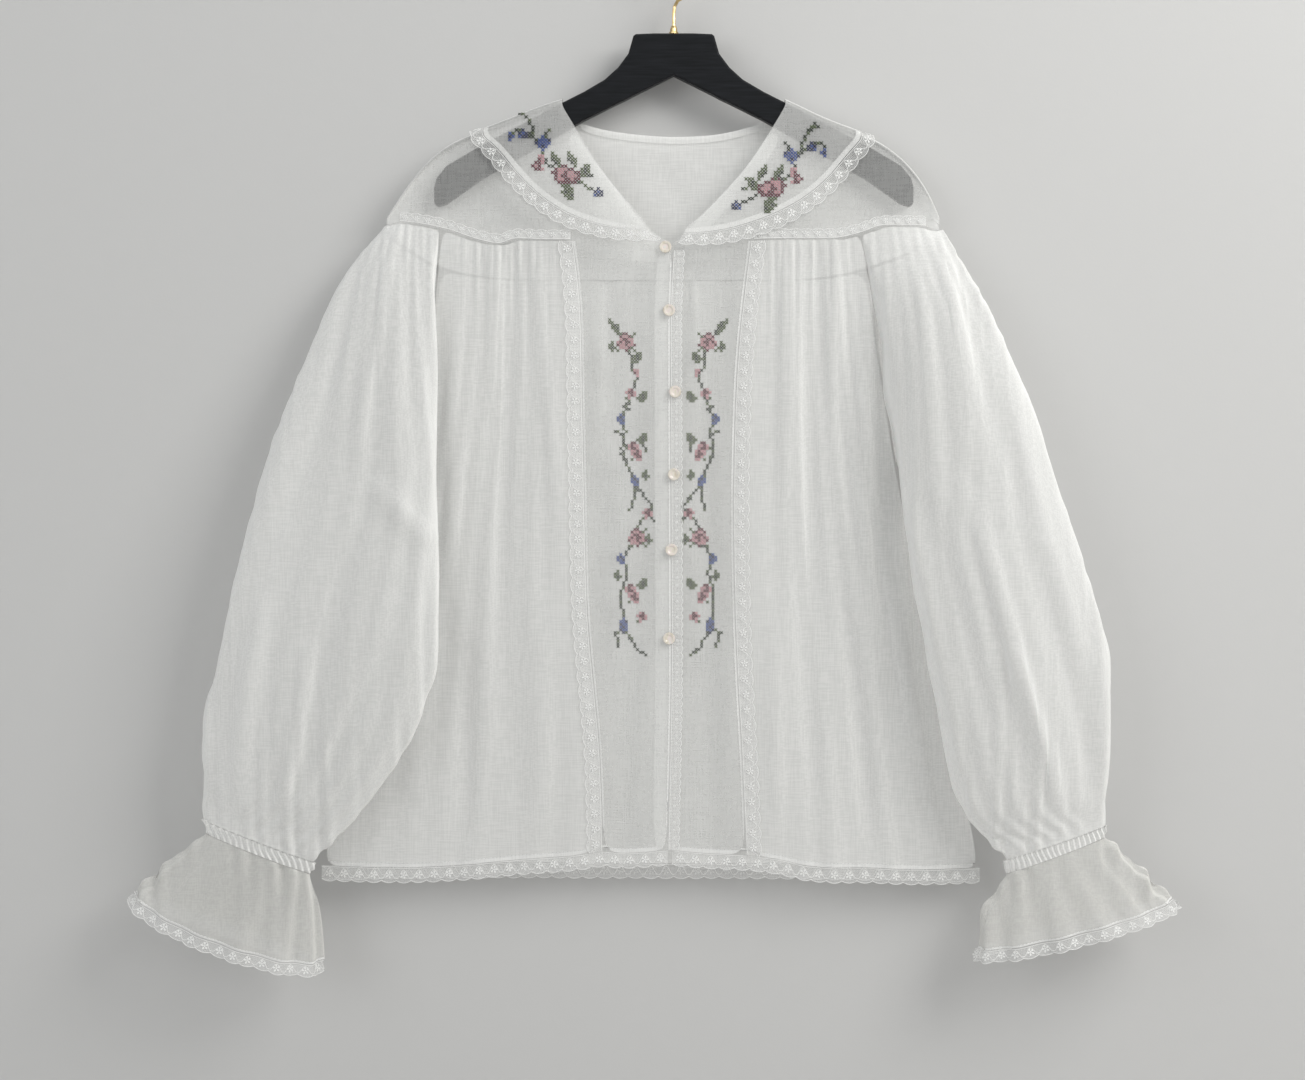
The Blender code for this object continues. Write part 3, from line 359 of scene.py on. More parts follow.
def end_tree(tree, given, result, shape):
    """Ends a tree: the shape realized and set in its material."""
    real = node(tree, "GeometryNodeRealizeInstances")
    finish = node(tree, "GeometryNodeSetMaterial")
    tree.links.new(shape, real.inputs["Geometry"])
    tree.links.new(real.outputs["Geometry"], finish.inputs["Geometry"])
    tree.links.new(given.outputs["Material"], finish.inputs["Material"])
    tree.links.new(finish.outputs["Geometry"], result.inputs["Geometry"])


def at_points(tree, given, shape):
    """The shape at every point of the given mesh, turned by the point's attribute turn."""
    turn = node(tree, "GeometryNodeInputNamedAttribute", {"Name": "turn"}, data_type="FLOAT_VECTOR")
    euler = node(tree, "FunctionNodeEulerToRotation")
    spread = node(tree, "GeometryNodeInstanceOnPoints")
    tree.links.new(turn.outputs["Attribute"], euler.inputs[0])
    tree.links.new(given.outputs["Geometry"], spread.inputs["Points"])
    tree.links.new(shape, spread.inputs["Instance"])
    tree.links.new(euler.outputs[0], spread.inputs["Rotation"])
    return spread.outputs["Instances"]


def combine(tree, **parts):
    """A vector whose named axes come from sockets."""
    made = node(tree, "ShaderNodeCombineXYZ")
    for axis, value in parts.items():
        tree.links.new(value, made.inputs[axis])
    return made.outputs["Vector"]


def scaled(tree, value, factor):
    made = node(tree, "ShaderNodeMath", {1: factor}, operation="MULTIPLY")
    tree.links.new(value, made.inputs[0])
    return made.outputs["Value"]


def made_by(tree, name, points, edges, turns, material, sizes):
    """What a tree makes of points in mm and edges, as a plain mesh that goes with the cloth."""
    mesh = bpy.data.meshes.new(name)
    mesh.from_pydata([tuple(p * MM) for p in points], edges, [])
    turn = mesh.attributes.new("turn", "FLOAT_VECTOR", "POINT")
    turn.data.foreach_set("vector", np.array(turns, np.float32).ravel())
    piece = new_piece(name, mesh)
    maker = piece.modifiers.new("maker", "NODES")
    maker.node_group = tree
    for socket in tree.interface.items_tree:
        if socket.in_out == "INPUT" and socket.name in sizes:
            maker[socket.identifier] = sizes[socket.name] * MM
        if socket.in_out == "INPUT" and socket.name == "Material":
            maker[socket.identifier] = material
    settle(piece)
    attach(piece, "root")
    return piece


def turn_to(x, z):
    """The Euler angles that turn a shape's x along one way and its z, nearly, along another."""
    x = Vector(x).normalized()
    y = Vector(z).cross(x).normalized()
    return tuple(Matrix((x, y, x.cross(y))).transposed().to_euler())


def thread_arch(tree, given, resolution):
    """One stitch of thread along x, arched up from the cloth."""
    arch = node(tree, "GeometryNodeCurveQuadraticBezier", {"Resolution": resolution})
    profile = node(tree, "GeometryNodeCurvePrimitiveCircle", {"Resolution": 5})
    thread = node(tree, "GeometryNodeCurveToMesh")
    tree.links.new(combine(tree, X=scaled(tree, given.outputs["Length"], -0.5)), arch.inputs["Start"])
    tree.links.new(combine(tree, Z=given.outputs["Height"]), arch.inputs["Middle"])
    tree.links.new(combine(tree, X=scaled(tree, given.outputs["Length"], 0.5)), arch.inputs["End"])
    tree.links.new(given.outputs["Radius"], profile.inputs["Radius"])
    tree.links.new(arch.outputs["Curve"], thread.inputs["Curve"])
    tree.links.new(profile.outputs["Curve"], thread.inputs["Profile Curve"])
    return thread.outputs["Mesh"]


cross_tree, given, result = pattern_tree(
    "cross_stitch", {"Length": 2.9 * MM, "Height": 0.45 * MM, "Radius": 0.26 * MM})
thread = thread_arch(cross_tree, given, 4)
over = node(cross_tree, "GeometryNodeTransform",
            {"Rotation": (0, 0, -math.pi / 4), "Translation": (0, 0, 0.2 * MM)})
below = node(cross_tree, "GeometryNodeTransform", {"Rotation": (0, 0, math.pi / 4)})
pair = node(cross_tree, "GeometryNodeJoinGeometry")
for diagonal in (over, below):
    cross_tree.links.new(thread, diagonal.inputs["Geometry"])
    cross_tree.links.new(diagonal.outputs["Geometry"], pair.inputs["Geometry"])
end_tree(cross_tree, given, result, at_points(cross_tree, given, pair.outputs["Geometry"]))


def floss(name, colour):
    """Mercerized cotton floss: soft plies with a low gloss, lighter and darker along the thread."""
    material, tree, surface = shader(name, colour, 0.5, specular=0.35)
    plies = stretched_noise(tree, (1, 1, 1), 1500.0, detail=3.0)
    dark = tuple(c * 0.65 for c in colour)
    light = tuple(min(1.0, c * 1.35) for c in colour)
    tinted(tree, surface, plies, ((0.3, dark), (0.7, light)))
    bump(tree, surface, plies, 0.5, 0.12 * MM)
    surface.inputs["Sheen Weight"].default_value = 0.15
    return material


FLOSS = {
    "g": floss("olive_floss", (0.075, 0.105, 0.035)),
    "d": floss("dark_green_floss", (0.022, 0.034, 0.016)),
    "p": floss("rose_pink_floss", (0.560, 0.285, 0.310)),
    "r": floss("madder_red_floss", (0.120, 0.010, 0.028)),
    "b": floss("cornflower_floss", (0.045, 0.085, 0.290)),
    "n": floss("navy_floss", (0.010, 0.015, 0.070)),
}
# One letter is one stitch: g and d green, p pink, r red, b blue, n navy.
MOTIFS = {
    "rose": ("..rr..g", ".rpprg.", ".prrpp.", "prprrp.", "rpprppr", ".ppprg.", "g..r..g"),
    "tall_rose": (".rr..", "prpp.", "prrp.", ".pprp", ".prrp", "..prr", ".g.pp"),
    "big_rose": ("..rrr....", ".rppprr..", "rrpprpprr", ".rprrpppr", ".rpprrprr", "..rrrrrr."),
    "small_rose": (".pr.", "prrp", ".prp", "gp.."),
    "ring": (".rr.", "rpr.", ".rrp"),
    "spray": ("g....", "gg...", ".gdg.", ".ggd.", "..gg.", "...g."),
    "side_leaf": (".g.", "gg.", "gdg", ".g."),
    "leaf": ("..gg", ".gdg", "ggdg", ".gg."),
    "leaf_sprig": ("g..", "gg.", "dgg", ".dg", "..g"),
    "leaf_fan": ("gg...", ".ggg.", "..ggg", ".gdgg", "..ggd", "...gg"),
    "curl": ("dg.", "..d"),
    "blue_bud": (".b.", "bnb", "bbn", ".bb"),
    "tall_bud": (".b.", "bbn", "nbb", "bnb", "nbb", ".n."),
    "blue_rose": ("..b..", ".bbbn", "nbbbb", ".bnb.", "..b.."),
    "bud_blue": ("b.", "nb", "b."),
    "bud_navy": (".n.", "nbn", "bnn"),
    "bud": ("pp", "rp", ".p"),
}
MIRROR_X = -5
STITCH_CLEARANCE = 0.15


def embroidered(name, piece, motifs, stems, pitch, mirrored=False, lower=0):
    """Works motifs, given by their centres x and z in mm, and stems between points, on a sheet.

    Returns one piece for each floss.
    """
    stitches = {}
    way = -1 if mirrored else 1
    for motif, x, z in motifs:
        chart = MOTIFS[motif]
        if mirrored:
            x = 2 * MIRROR_X - x
        for i, row in enumerate(chart):
            for j, shade in enumerate(row):
                column = round((x + way * (j - (len(row) - 1) / 2) * pitch) / pitch)
                line = round((z - lower - (i - (len(chart) - 1) / 2) * pitch) / pitch)
                if shade != ".":
                    stitches.setdefault((column, line), shade)
    for stem in stems:
        for (x1, z1), (x2, z2) in zip(stem, stem[1:]):
            steps = max(1, round(math.hypot(x2 - x1, z2 - z1) / pitch))
            for k in range(steps + 1):
                x = x1 + (x2 - x1) * k / steps
                column = round((2 * MIRROR_X - x if mirrored else x) / pitch)
                line = round((z1 + (z2 - z1) * k / steps - lower) / pitch)
                stitches.setdefault((column, line), "d" if (column + line) % 3 else "g")
    bm = bmesh.new()
    bm.from_mesh(piece.data)
    surface = BVHTree.FromBMesh(bm)
    bm.free()
    hand = np.random.default_rng(7)
    worked = {}
    for (column, line), shade in stitches.items():
        slip = hand.uniform(-0.12, 0.12, 2)
        start = Vector((column * pitch + slip[0], -300, line * pitch + slip[1])) * MM
        co, normal = surface.ray_cast(start, Vector(BACK))[:2]
        if co is not None:
            normal *= -1 if normal.y > 0 else 1
            lean = Vector((1, 0, hand.uniform(-0.07, 0.07)))
            place = np.array(co) / MM + np.array(normal) * STITCH_CLEARANCE
            worked.setdefault(shade, []).append((place, turn_to(lean, normal)))
    sizes = {"Length": 1.28 * pitch, "Height": 0.5, "Radius": 0.15 * pitch}
    return [made_by(cross_tree, name + "_" + FLOSS[shade].name, [p for p, t in done], [],
                    [t for p, t in done], FLOSS[shade], sizes)
            for shade, done in sorted(worked.items())]


GARLAND = (
    ("spray", -48, -302), ("side_leaf", -50, -318), ("rose", -38, -315), ("leaf", -30, -328),
    ("bud", -30, -341), ("small_rose", -36, -357), ("leaf", -26, -361), ("curl", -40, -369),
    ("blue_bud", -44, -379), ("curl", -45, -390), ("leaf", -26, -395), ("tall_rose", -32, -404),
    ("side_leaf", -23, -424), ("blue_bud", -33, -430), ("small_rose", -22, -456), ("rose", -30, -477),
    ("side_leaf", -20, -478), ("blue_bud", -43, -493), ("side_leaf", -45, -508), ("leaf", -26, -515),
    ("tall_rose", -35, -523), ("small_rose", -27, -541), ("tall_bud", -41, -548),
)
GARLAND_STEMS = (
    ((-50, -299), (-44, -309), (-36, -322), (-34, -337), (-30, -343), (-35, -356), (-39, -369),
     (-44, -379), (-40, -389), (-43, -402), (-39, -415), (-33, -430), (-26, -440), (-18, -450),
     (-22, -456), (-30, -466), (-34, -482), (-43, -493), (-38, -504), (-43, -519), (-43, -532),
     (-41, -548), (-35, -560), (-31, -568), (-24, -572)),
    ((-33, -430), (-32, -441), (-36, -453)),
    ((-41, -548), (-48, -555), (-45, -565)),
    ((-26, -395), (-23, -404)),
    ((-39, -415), (-43, -406), (-38, -401)),
    ((-22, -456), (-16, -462)),
)
SPRIG = (
    ("curl", -125, -127), ("bud_blue", -134, -147), ("bud_navy", -123, -143), ("blue_rose", -107, -151),
    ("bud", -109, -165), ("ring", -112, -170), ("leaf_sprig", -97, -164), ("leaf_sprig", -84, -165),
    ("big_rose", -90, -176), ("leaf", -75, -173), ("leaf_fan", -90, -190), ("bud_navy", -62, -192),
)
SPRIG_STEMS = (
    ((-125, -125), (-120, -133), (-115, -139), (-115, -146), (-107, -151), (-109, -160), (-103, -169),
     (-90, -176), (-74, -185), (-62, -192)),
    ((-107, -151), (-116, -147), (-126, -140), (-133, -142), (-134, -149)),
    ((-107, -151), (-103, -140)),
    ((-81, -176), (-69, -171)),
    ((-79, -179), (-68, -177)),
)


# The fronts: each has its half yoke and centre panel in one piece, T shaped, cut flat and smooth.
# The side fronts are gathered into the yoke and joined to the centre panels.

FRONT_CREASES = {
    "front_left": ((-150, -190, -92, -222, 9, 0.7), (-62, -262, -66, -420, 7, 0.7),
                   (-38, -300, -30, -520, 8, -0.6), (-70, -520, -58, -700, 9, 0.7),
                   (-24, -560, -34, -720, 7, 0.6)),
    "front_right": ((150, -190, 96, -222, 9, 0.7), (52, -262, 48, -440, 7, 0.7),
                    (24, -330, 30, -560, 8, -0.6), (44, -540, 36, -720, 9, 0.7)),
}
for name, rows in FRONT_CREASES.items():
    piece = refined(name + "_cloth", middle_sheet(name, FRONT), 3)
    creases(piece, rows)
    garland = embroidered(name + "_garland", piece, GARLAND, GARLAND_STEMS, 2.3,
                          mirrored=name == "front_right")
    cloth(piece, ramie, [name])

SIDE_CREASES = {
    "side_front_left": ((-196, -225, -214, -420, 7, 1.3), (-172, -230, -182, -560, 9, 1.5),
                        (-150, -225, -148, -380, 6, 1.2), (-128, -226, -138, -690, 9, -1.4),
                        (-108, -228, -104, -460, 7, 1.3), (-196, -430, -226, -690, 10, 1.6),
                        (-165, -560, -176, -735, 9, -1.2), (-112, -520, -104, -730, 9, 1.2)),
    "side_front_right": ((182, -225, 196, -430, 7, 1.4), (160, -226, 168, -620, 9, 1.6),
                         (136, -225, 132, -370, 6, 1.2), (116, -226, 126, -700, 9, -1.5),
                         (94, -228, 88, -450, 7, 1.2), (186, -440, 206, -700, 11, 1.8),
                         (150, -540, 156, -735, 9, -1.3), (92, -520, 84, -730, 9, 1.2)),
}
for name, rows in SIDE_CREASES.items():
    piece = refined(name + "_cloth", middle_sheet(name, FRONT), 3)
    gathers(piece, lowest_line(piece, low=False), 110, 9, 0.75, len(name))
    creases(piece, rows)
    cloth(piece, gathered_ramie, [name])


# The sleeves: full balloon sleeves in the same ramie, each one piece with a seam underneath.
# They are gathered at the head into the armhole, and again into the wrist.

SLEEVE_CREASES = {
    "sleeve_left": ((-232, -222, -262, -420, 7, 1.5), (-252, -240, -318, -470, 8, -1.4),
                    (-222, -250, -226, -470, 6, 1.2), (-300, -330, -356, -560, 10, 1.6),
                    (-246, -430, -196, -486, 10, 1.6), (-260, -470, -306, -690, 9, -1.6),
                    (-330, -520, -352, -700, 9, 1.5), (-290, -560, -322, -700, 7, 1.4),
                    (-232, -560, -296, -690, 8, -1.4), (-386, -520, -374, -690, 8, 1.3),
                    (-400, -600, -384, -690, 6, -1.0)),
    "sleeve_right": ((214, -222, 240, -430, 8, 1.7), (236, -240, 292, -480, 9, -1.6),
                     (206, -250, 206, -480, 7, 1.4), (262, -320, 330, -600, 11, 1.9),
                     (212, -440, 250, -640, 9, -1.7), (232, -420, 300, -690, 9, 1.8),
                     (300, -480, 338, -690, 9, -1.5), (270, -560, 312, -700, 7, 1.5),
                     (350, -520, 346, -690, 8, 1.5), (372, -580, 360, -690, 6, -1.1)),
}
for name, rows in SLEEVE_CREASES.items():
    piece = refined(name + "_cloth", middle_sheet(name, None), 3)
    gathers(piece, lowest_line(piece, low=False), 130, 10, 0.6, 2 + len(name))
    gathers(piece, lowest_line(piece), 150, 17, 1.9, len(name), rising=True)
    creases(piece, rows, side=-1)
    creases(piece, [(x1 + 9, z1, x2 - 11, z2, w, 0.9 * h) for x1, z1, x2, z2, w, h in rows], side=1)
    cloth(piece, gathered_ramie, [name])


# The cuffs: a narrow casing shirred by elastic, and below it a flared ruffle of one layer.
# The ruffle is cut longer than the casing and gathered on to it.

SHIRR_HEIGHT = 0.7
SHIRR_PITCH = 4.6
# The ruffles' ramie is coloured darker than the rest of the same cloth: painted shade, for the shade inside
# the flared ruffles.
shaded_ruffle_ramie = woven("shaded_ruffle_ramie", (0.75, 0.745, 0.71), 0.42)
for side in ("left", "right"):
    name = "wrist_" + side
    piece = refined(name + "_cloth", middle_sheet(name, None), 3)
    co = points_of(piece.data) / MM
    around = co[:, 0] + 0.35 * co[:, 2]
    wander = 0.8 * np.sin(co[:, 2] / 3)
    lift(piece, SHIRR_HEIGHT * np.sin(2 * math.pi * around / SHIRR_PITCH + wander))
    cloth(piece, gathered_ramie, [name])
    name = "ruffle_" + side
    piece = refined(name + "_cloth", middle_sheet(name, None), 3)
    gathers(piece, lowest_line(piece, low=False), 62, 21, 2.6, 1 + len(name))
    cloth(piece, shaded_ruffle_ramie, [name])


# The collar: a wide cape collar of one layer, which lies loose over the yoke from the neck seam.
# Narrow bias strips of the same ramie face the neckline inside it.

piece = refined("collar_cloth", middle_sheet("collar", FRONT), 3)
creases(piece, ((-118, -135, -76, -200, 9, 0.6), (96, -140, 60, -205, 9, 0.6)))
sprigs = embroidered("left_sprig", piece, SPRIG, SPRIG_STEMS, 2.7)
sprigs += embroidered("right_sprig", piece, SPRIG, SPRIG_STEMS, 2.7, mirrored=True, lower=11)
cloth(piece, ramie, ["collar"])
for name, outside, flat, area in (("neck_facing_left", FRONT, (0.13, 0.012), 0.0014),
                                  ("neck_facing_right", FRONT, (0.13, 0.012), 0.0014),
                                  ("neck_facing_back", BACK, (0.16, 0.01), 0.001)):
    piece = refined(name + "_cloth", middle_sheet(name, outside, LACE_WALL), 2)
    cloth(piece, back_ramie, [name])


# The button band: a straight strip of the same ramie, stitched down the edge of the wearer's
# right front, which laps over the other front.

piece = refined("placket_cloth", middle_sheet("placket", FRONT), 2)
cloth(piece, ramie, ["placket"])


# The lace: machine-made cotton net with small flowers, a gimp vine and a corded, scalloped edge.
# Its straight edge is sewn to the yoke seams, the centre panels, the hem, the cuffs,
# the collar and the button band; next to it the cloth's own edge is turned under, so it is double.

lace_thread, tree, surface = shader("lace_thread", (0.93, 0.93, 0.91), 0.65, specular=0.25)
twist = stretched_noise(tree, (1, 1, 1), 2600.0)
tinted(tree, surface, twist, ((0.3, (0.86, 0.86, 0.84)), (0.7, (0.95, 0.95, 0.93))))
bump(tree, surface, twist, 0.4, 0.1 * MM)

lace_net, tree, surface = shader("lace_net", (0.92, 0.92, 0.90), 0.7, specular=0.2)
place = node(tree, "ShaderNodeTexCoord")
mesh_cells = node(tree, "ShaderNodeTexVoronoi", {"Scale": 830.0, "Randomness": 0.35},
                  feature="DISTANCE_TO_EDGE")
tree.links.new(place.outputs["UV"], mesh_cells.inputs["Vector"])
net_thread = node(tree, "ShaderNodeMapRange",
                  {"From Min": 0.05, "From Max": 0.13, "To Min": 0.9, "To Max": 0.05})
tree.links.new(mesh_cells.outputs["Distance"], net_thread.inputs["Value"])
tree.links.new(net_thread.outputs["Result"], surface.inputs["Alpha"])
knots = stretched_noise(tree, (1, 1, 1), 900.0)
tinted(tree, surface, knots, ((0.3, (0.86, 0.86, 0.84)), (0.7, (0.94, 0.94, 0.92))))
bump(tree, surface, net_thread.outputs["Result"], 0.4, 0.1 * MM)

double_ramie = woven("double_ramie", (0.96, 0.96, 0.94), 0.62)

# Five small raised petals round a button centre.
flower_tree, given, result = pattern_tree("lace_flower", {"Petal": 2.2 * MM, "Relief": 0.3 * MM})
disc = node(flower_tree, "GeometryNodeMeshCircle", {"Vertices": 8, "Radius": 1.0}, fill_type="NGON")
petal = node(flower_tree, "GeometryNodeTransform")
flower_tree.links.new(disc.outputs["Mesh"], petal.inputs["Geometry"])
petal_long, petal_wide, petal_out, eye_size = [
    scaled(flower_tree, given.outputs["Petal"], share) for share in (0.66, 0.42, 1.15, 0.4)]
flower_tree.links.new(combine(flower_tree, X=petal_out), petal.inputs["Translation"])
flower_tree.links.new(combine(flower_tree, X=petal_long, Y=petal_wide), petal.inputs["Scale"])
five = node(flower_tree, "GeometryNodeMeshCircle", {"Vertices": 5, "Radius": 0.00001})
count = node(flower_tree, "GeometryNodeInputIndex")
fan = node(flower_tree, "GeometryNodeInstanceOnPoints")
flower_tree.links.new(five.outputs["Mesh"], fan.inputs["Points"])
flower_tree.links.new(petal.outputs["Geometry"], fan.inputs["Instance"])
fifth = scaled(flower_tree, count.outputs["Index"], 2 * math.pi / 5)
flower_tree.links.new(combine(flower_tree, Z=fifth), fan.inputs["Rotation"])
eye = node(flower_tree, "GeometryNodeTransform")
flower_tree.links.new(disc.outputs["Mesh"], eye.inputs["Geometry"])
flower_tree.links.new(combine(flower_tree, X=eye_size, Y=eye_size), eye.inputs["Scale"])
bloom = node(flower_tree, "GeometryNodeJoinGeometry")
flower_tree.links.new(eye.outputs["Geometry"], bloom.inputs["Geometry"])
flower_tree.links.new(fan.outputs["Instances"], bloom.inputs["Geometry"])
flat_bloom = node(flower_tree, "GeometryNodeRealizeInstances")
flower_tree.links.new(bloom.outputs["Geometry"], flat_bloom.inputs["Geometry"])
raised = node(flower_tree, "GeometryNodeExtrudeMesh", {"Individual": True})
flower_tree.links.new(flat_bloom.outputs["Geometry"], raised.inputs["Mesh"])
flower_tree.links.new(given.outputs["Relief"], raised.inputs["Offset Scale"])
end_tree(flower_tree, given, result, at_points(flower_tree, given, raised.outputs["Mesh"]))

# A round cord that follows the edges it is given.
cord_tree, given, result = pattern_tree("lace_cord", {"Radius": 0.35 * MM})
line = node(cord_tree, "GeometryNodeMeshToCurve")
ring = node(cord_tree, "GeometryNodeCurvePrimitiveCircle", {"Resolution": 5})
tube = node(cord_tree, "GeometryNodeCurveToMesh")
cord_tree.links.new(given.outputs["Geometry"], line.inputs["Mesh"])
cord_tree.links.new(given.outputs["Radius"], ring.inputs["Radius"])
cord_tree.links.new(line.outputs["Curve"], tube.inputs["Curve"])
cord_tree.links.new(ring.outputs["Curve"], tube.inputs["Profile Curve"])
end_tree(cord_tree, given, result, tube.outputs["Mesh"])

# One running stitch of sewing thread.
seam_tree, given, result = pattern_tree(
    "running_stitch", {"Length": 2.2 * MM, "Height": 0.25 * MM, "Radius": 0.16 * MM})
end_tree(seam_tree, given, result, at_points(seam_tree, given, thread_arch(seam_tree, given, 3)))


def ribbon_rows(bm, outward):
    """The two long edges of a ribbon's sheet as matching points in mm, the free edge second.

    outward is the way the free edge lies, or None where it lies farther from the neck.
    """
    rungs = {f: [e for e in f.edges if len(e.link_faces) == 2] for f in bm.faces}
    ends = [f for f in rungs if len(rungs[f]) == 1]
    face = ends[0] if ends else next(f for f in rungs if len(f.verts) == 4)
    rung = rungs[face][0]
    if ends:
        rung = next(e for e in face.edges if not set(e.verts) & set(rung.verts))
    near, far = rung.verts
    pairs = [(near, far)]
    half = False
    done = set()
    while face and face not in done:
        done.add(face)
        joined = [e for e in face.edges if len(e.link_faces) == 1 and set(e.verts) & {near, far}]
        rung = next(e for e in face.edges if e is not rung and e not in joined)
        a, b = rung.verts
        if a is far or b is near or any({near, b} == set(e.verts) for e in joined):
            a, b = b, a
        near, far = a, b
        half = len(face.verts) == 3 and not half
        if not half:
            pairs.append((near, far))
        face = next((f for f in rung.link_faces if f is not face), None)
    rows = np.array([[tuple(v.co) for v in pair] for pair in pairs]) / MM
    if not ends:
        rows = rows[:-1]
    lean = rows.mean(axis=1) - (0, 0, -130) if outward is None else np.array(outward)
    if ((rows[:, 1] - rows[:, 0]) * lean).sum() < 0:
        rows = rows[:, ::-1]
    return rows, not ends


def rounded(rows, at, ring):
    """Both rows at fractional places along them, on the curve that the cloth's rounding gives."""
    if ring:
        held = np.concatenate([rows[-1:], rows, rows[:3]])
    else:
        held = np.concatenate([2 * rows[:1] - rows[1:2], rows, 2 * rows[-1:] - rows[-2:-1], rows[-1:]])
    k = np.floor(at).astype(int)
    t = (at - k)[:, None, None]
    weights = ((1 - t) ** 3, 3 * t ** 3 - 6 * t ** 2 + 4, 1 + 3 * t + 3 * t ** 2 - 3 * t ** 3, t ** 3)
    return sum(w * held[k + i] for i, w in enumerate(weights)) / 6


def strip(name, grid):
    """A sheet from a grid of points in mm, with a UV map in metres along and across it."""
    columns, rows = grid.shape[:2]
    along = np.concatenate([[0], np.cumsum(np.linalg.norm(np.diff(grid[:, 0], axis=0), axis=1))])
    across = np.concatenate([np.zeros((columns, 1)),
                             np.cumsum(np.linalg.norm(np.diff(grid, axis=1), axis=2), axis=1)], axis=1)
    mesh = bpy.data.meshes.new(name)
    faces = [(i * rows + j, (i + 1) * rows + j, (i + 1) * rows + j + 1, i * rows + j + 1)
             for i in range(columns - 1) for j in range(rows - 1)]
    mesh.from_pydata([tuple(p * MM) for p in grid.reshape(-1, 3)], [], faces)
    uv = mesh.uv_layers.new(name="UVMap")
    corner = np.zeros(len(mesh.loops), np.int32)
    mesh.loops.foreach_get("vertex_index", corner)
    flat_uv = np.stack([np.repeat(along, rows), across.ravel()], axis=1) * MM
    uv.data.foreach_set("uv", flat_uv[corner].astype(np.float32).ravel())
    mesh.update()
    return new_piece(name, mesh)


sewing_thread, tree, surface = shader("sewing_thread", (0.90, 0.90, 0.88), 0.6, specular=0.25)
ply = stretched_noise(tree, (1, 1, 1), 3000.0)
tinted(tree, surface, ply, ((0.3, (0.82, 0.82, 0.80)), (0.7, (0.93, 0.93, 0.91))))
bump(tree, surface, ply, 0.3, 0.06 * MM)


BAND_CLEARANCE = 0.3
STITCH_PITCH = 3.1


def turned_under(name, edge, inward, wide, pieces):
    """A band of doubled cloth on sheets, from an edge inward, with a row of running stitches."""
    inward = inward / np.linalg.norm(inward, axis=1)[:, None]
    bm = bmesh.new()
    for piece in pieces:
        bm.from_mesh(bpy.data.objects[piece + "_cloth"].data)
    surface = BVHTree.FromBMesh(bm)
    bm.free()
    grid = []
    for p, i in zip(edge[::2], inward[::2]):
        for depth in (0.1, 0.5 * wide, wide):
            co, normal = surface.find_nearest(Vector((p + i * depth) * MM))[:2]
            grid.append(np.array(co) / MM + np.array(normal) * BAND_CLEARANCE)
    grid = np.array(grid).reshape(-1, 3, 3)
    band = strip(name, grid)
    note_slant(band)
    set_material(band, double_ramie)
    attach(band, "root")
    line = grid[:, 2]
    run = np.concatenate([[0], np.cumsum(np.linalg.norm(np.diff(line, axis=0), axis=1))])
    at = np.arange(1.5, run[-1] - 1, STITCH_PITCH)
    spots, ahead = [np.stack([np.interp(at + further, run, line[:, axis]) for axis in range(3)], axis=1)
                    for further in (0, 1)]
    faces = [np.array(surface.find_nearest(Vector(p * MM))[1]) for p in spots]
    row = made_by(seam_tree, name + "_stitches", spots + 0.1 * np.array(faces), [],
                  [turn_to(a - p, f) for a, p, f in zip(ahead, spots, faces)], sewing_thread,
                  {"Length": 2.1, "Height": 0.25, "Radius": 0.14})
    return [band, row]


PER_SCALLOP = 8
SCALLOP_DIP = 0.16


def lace(name, outside, outward, pitch, petal, vine=True, hem=0, on=()):
    """Lays a lace where its ribbon is: net, flowers, vine and corded edge.

    hem is how wide the cloth pieces it is sewn on are doubled along it; a hem below 0 lies under it.
    """
    rows, ring = ribbon_rows(middle_sheet(name, outside, LACE_WALL), outward)
    places = np.linspace(0, len(rows) - (0 if ring else 1), 30 * len(rows))
    middle = rounded(rows, places, ring).mean(axis=1)
    run = np.concatenate([[0], np.cumsum(np.linalg.norm(np.diff(middle, axis=0), axis=1))])
    scallops = max(2, round(run[-1] / pitch))
    beat = np.linspace(0, scallops, PER_SCALLOP * scallops + 1)
    sewn, free = rounded(rows, np.interp(beat / scallops * run[-1], run, places), ring).transpose(1, 0, 2)
    reach = 1 - SCALLOP_DIP + SCALLOP_DIP * np.abs(np.sin(math.pi * beat)) ** 0.8
    wide = (free - sewn) * reach[:, None]
    net = strip(name + "_net", sewn[:, None] + wide[:, None] * np.linspace(0, 1, 5)[None, :, None])
    centre = (sewn + free).mean(axis=0) / 2
    points, turns = [], []
    for k in range(PER_SCALLOP // 2, len(beat) - 1, PER_SCALLOP):
        along = sewn[k + 1] - sewn[k - 1]
        face = np.cross(along, wide[k])
        look = sewn[k] - centre if ring else np.array(outside)
        face *= np.sign(face.dot(look)) / np.linalg.norm(face)
        points.append(sewn[k] + 0.48 * wide[k] + 0.1 * face)
        turns.append(turn_to(along, face))
    flowers = made_by(flower_tree, name + "_flowers", points, [], turns, lace_thread,
                      {"Petal": petal, "Relief": 0.3})
    cords = [sewn + wide]
    if vine:
        cords.append(sewn + wide * (0.5 + 0.36 * np.cos(2 * math.pi * beat))[:, None])
    cords.append(sewn + wide * 0.06)
    edges = [(i + j * len(beat), i + 1 + j * len(beat))
             for j in range(len(cords)) for i in range(len(beat) - 1)]
    gimp = made_by(cord_tree, name + "_cords", np.concatenate(cords), edges,
                   np.zeros((len(cords) * len(beat), 3)), lace_thread, {"Radius": 0.28})
    set_material(net, lace_net)
    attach(net, "root")
    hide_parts(name)
    sewn_on = [flowers, gimp]
    if hem:
        sewn_on += turned_under(name + "_hem", sewn, (sewn - free) * hem, abs(hem), on)


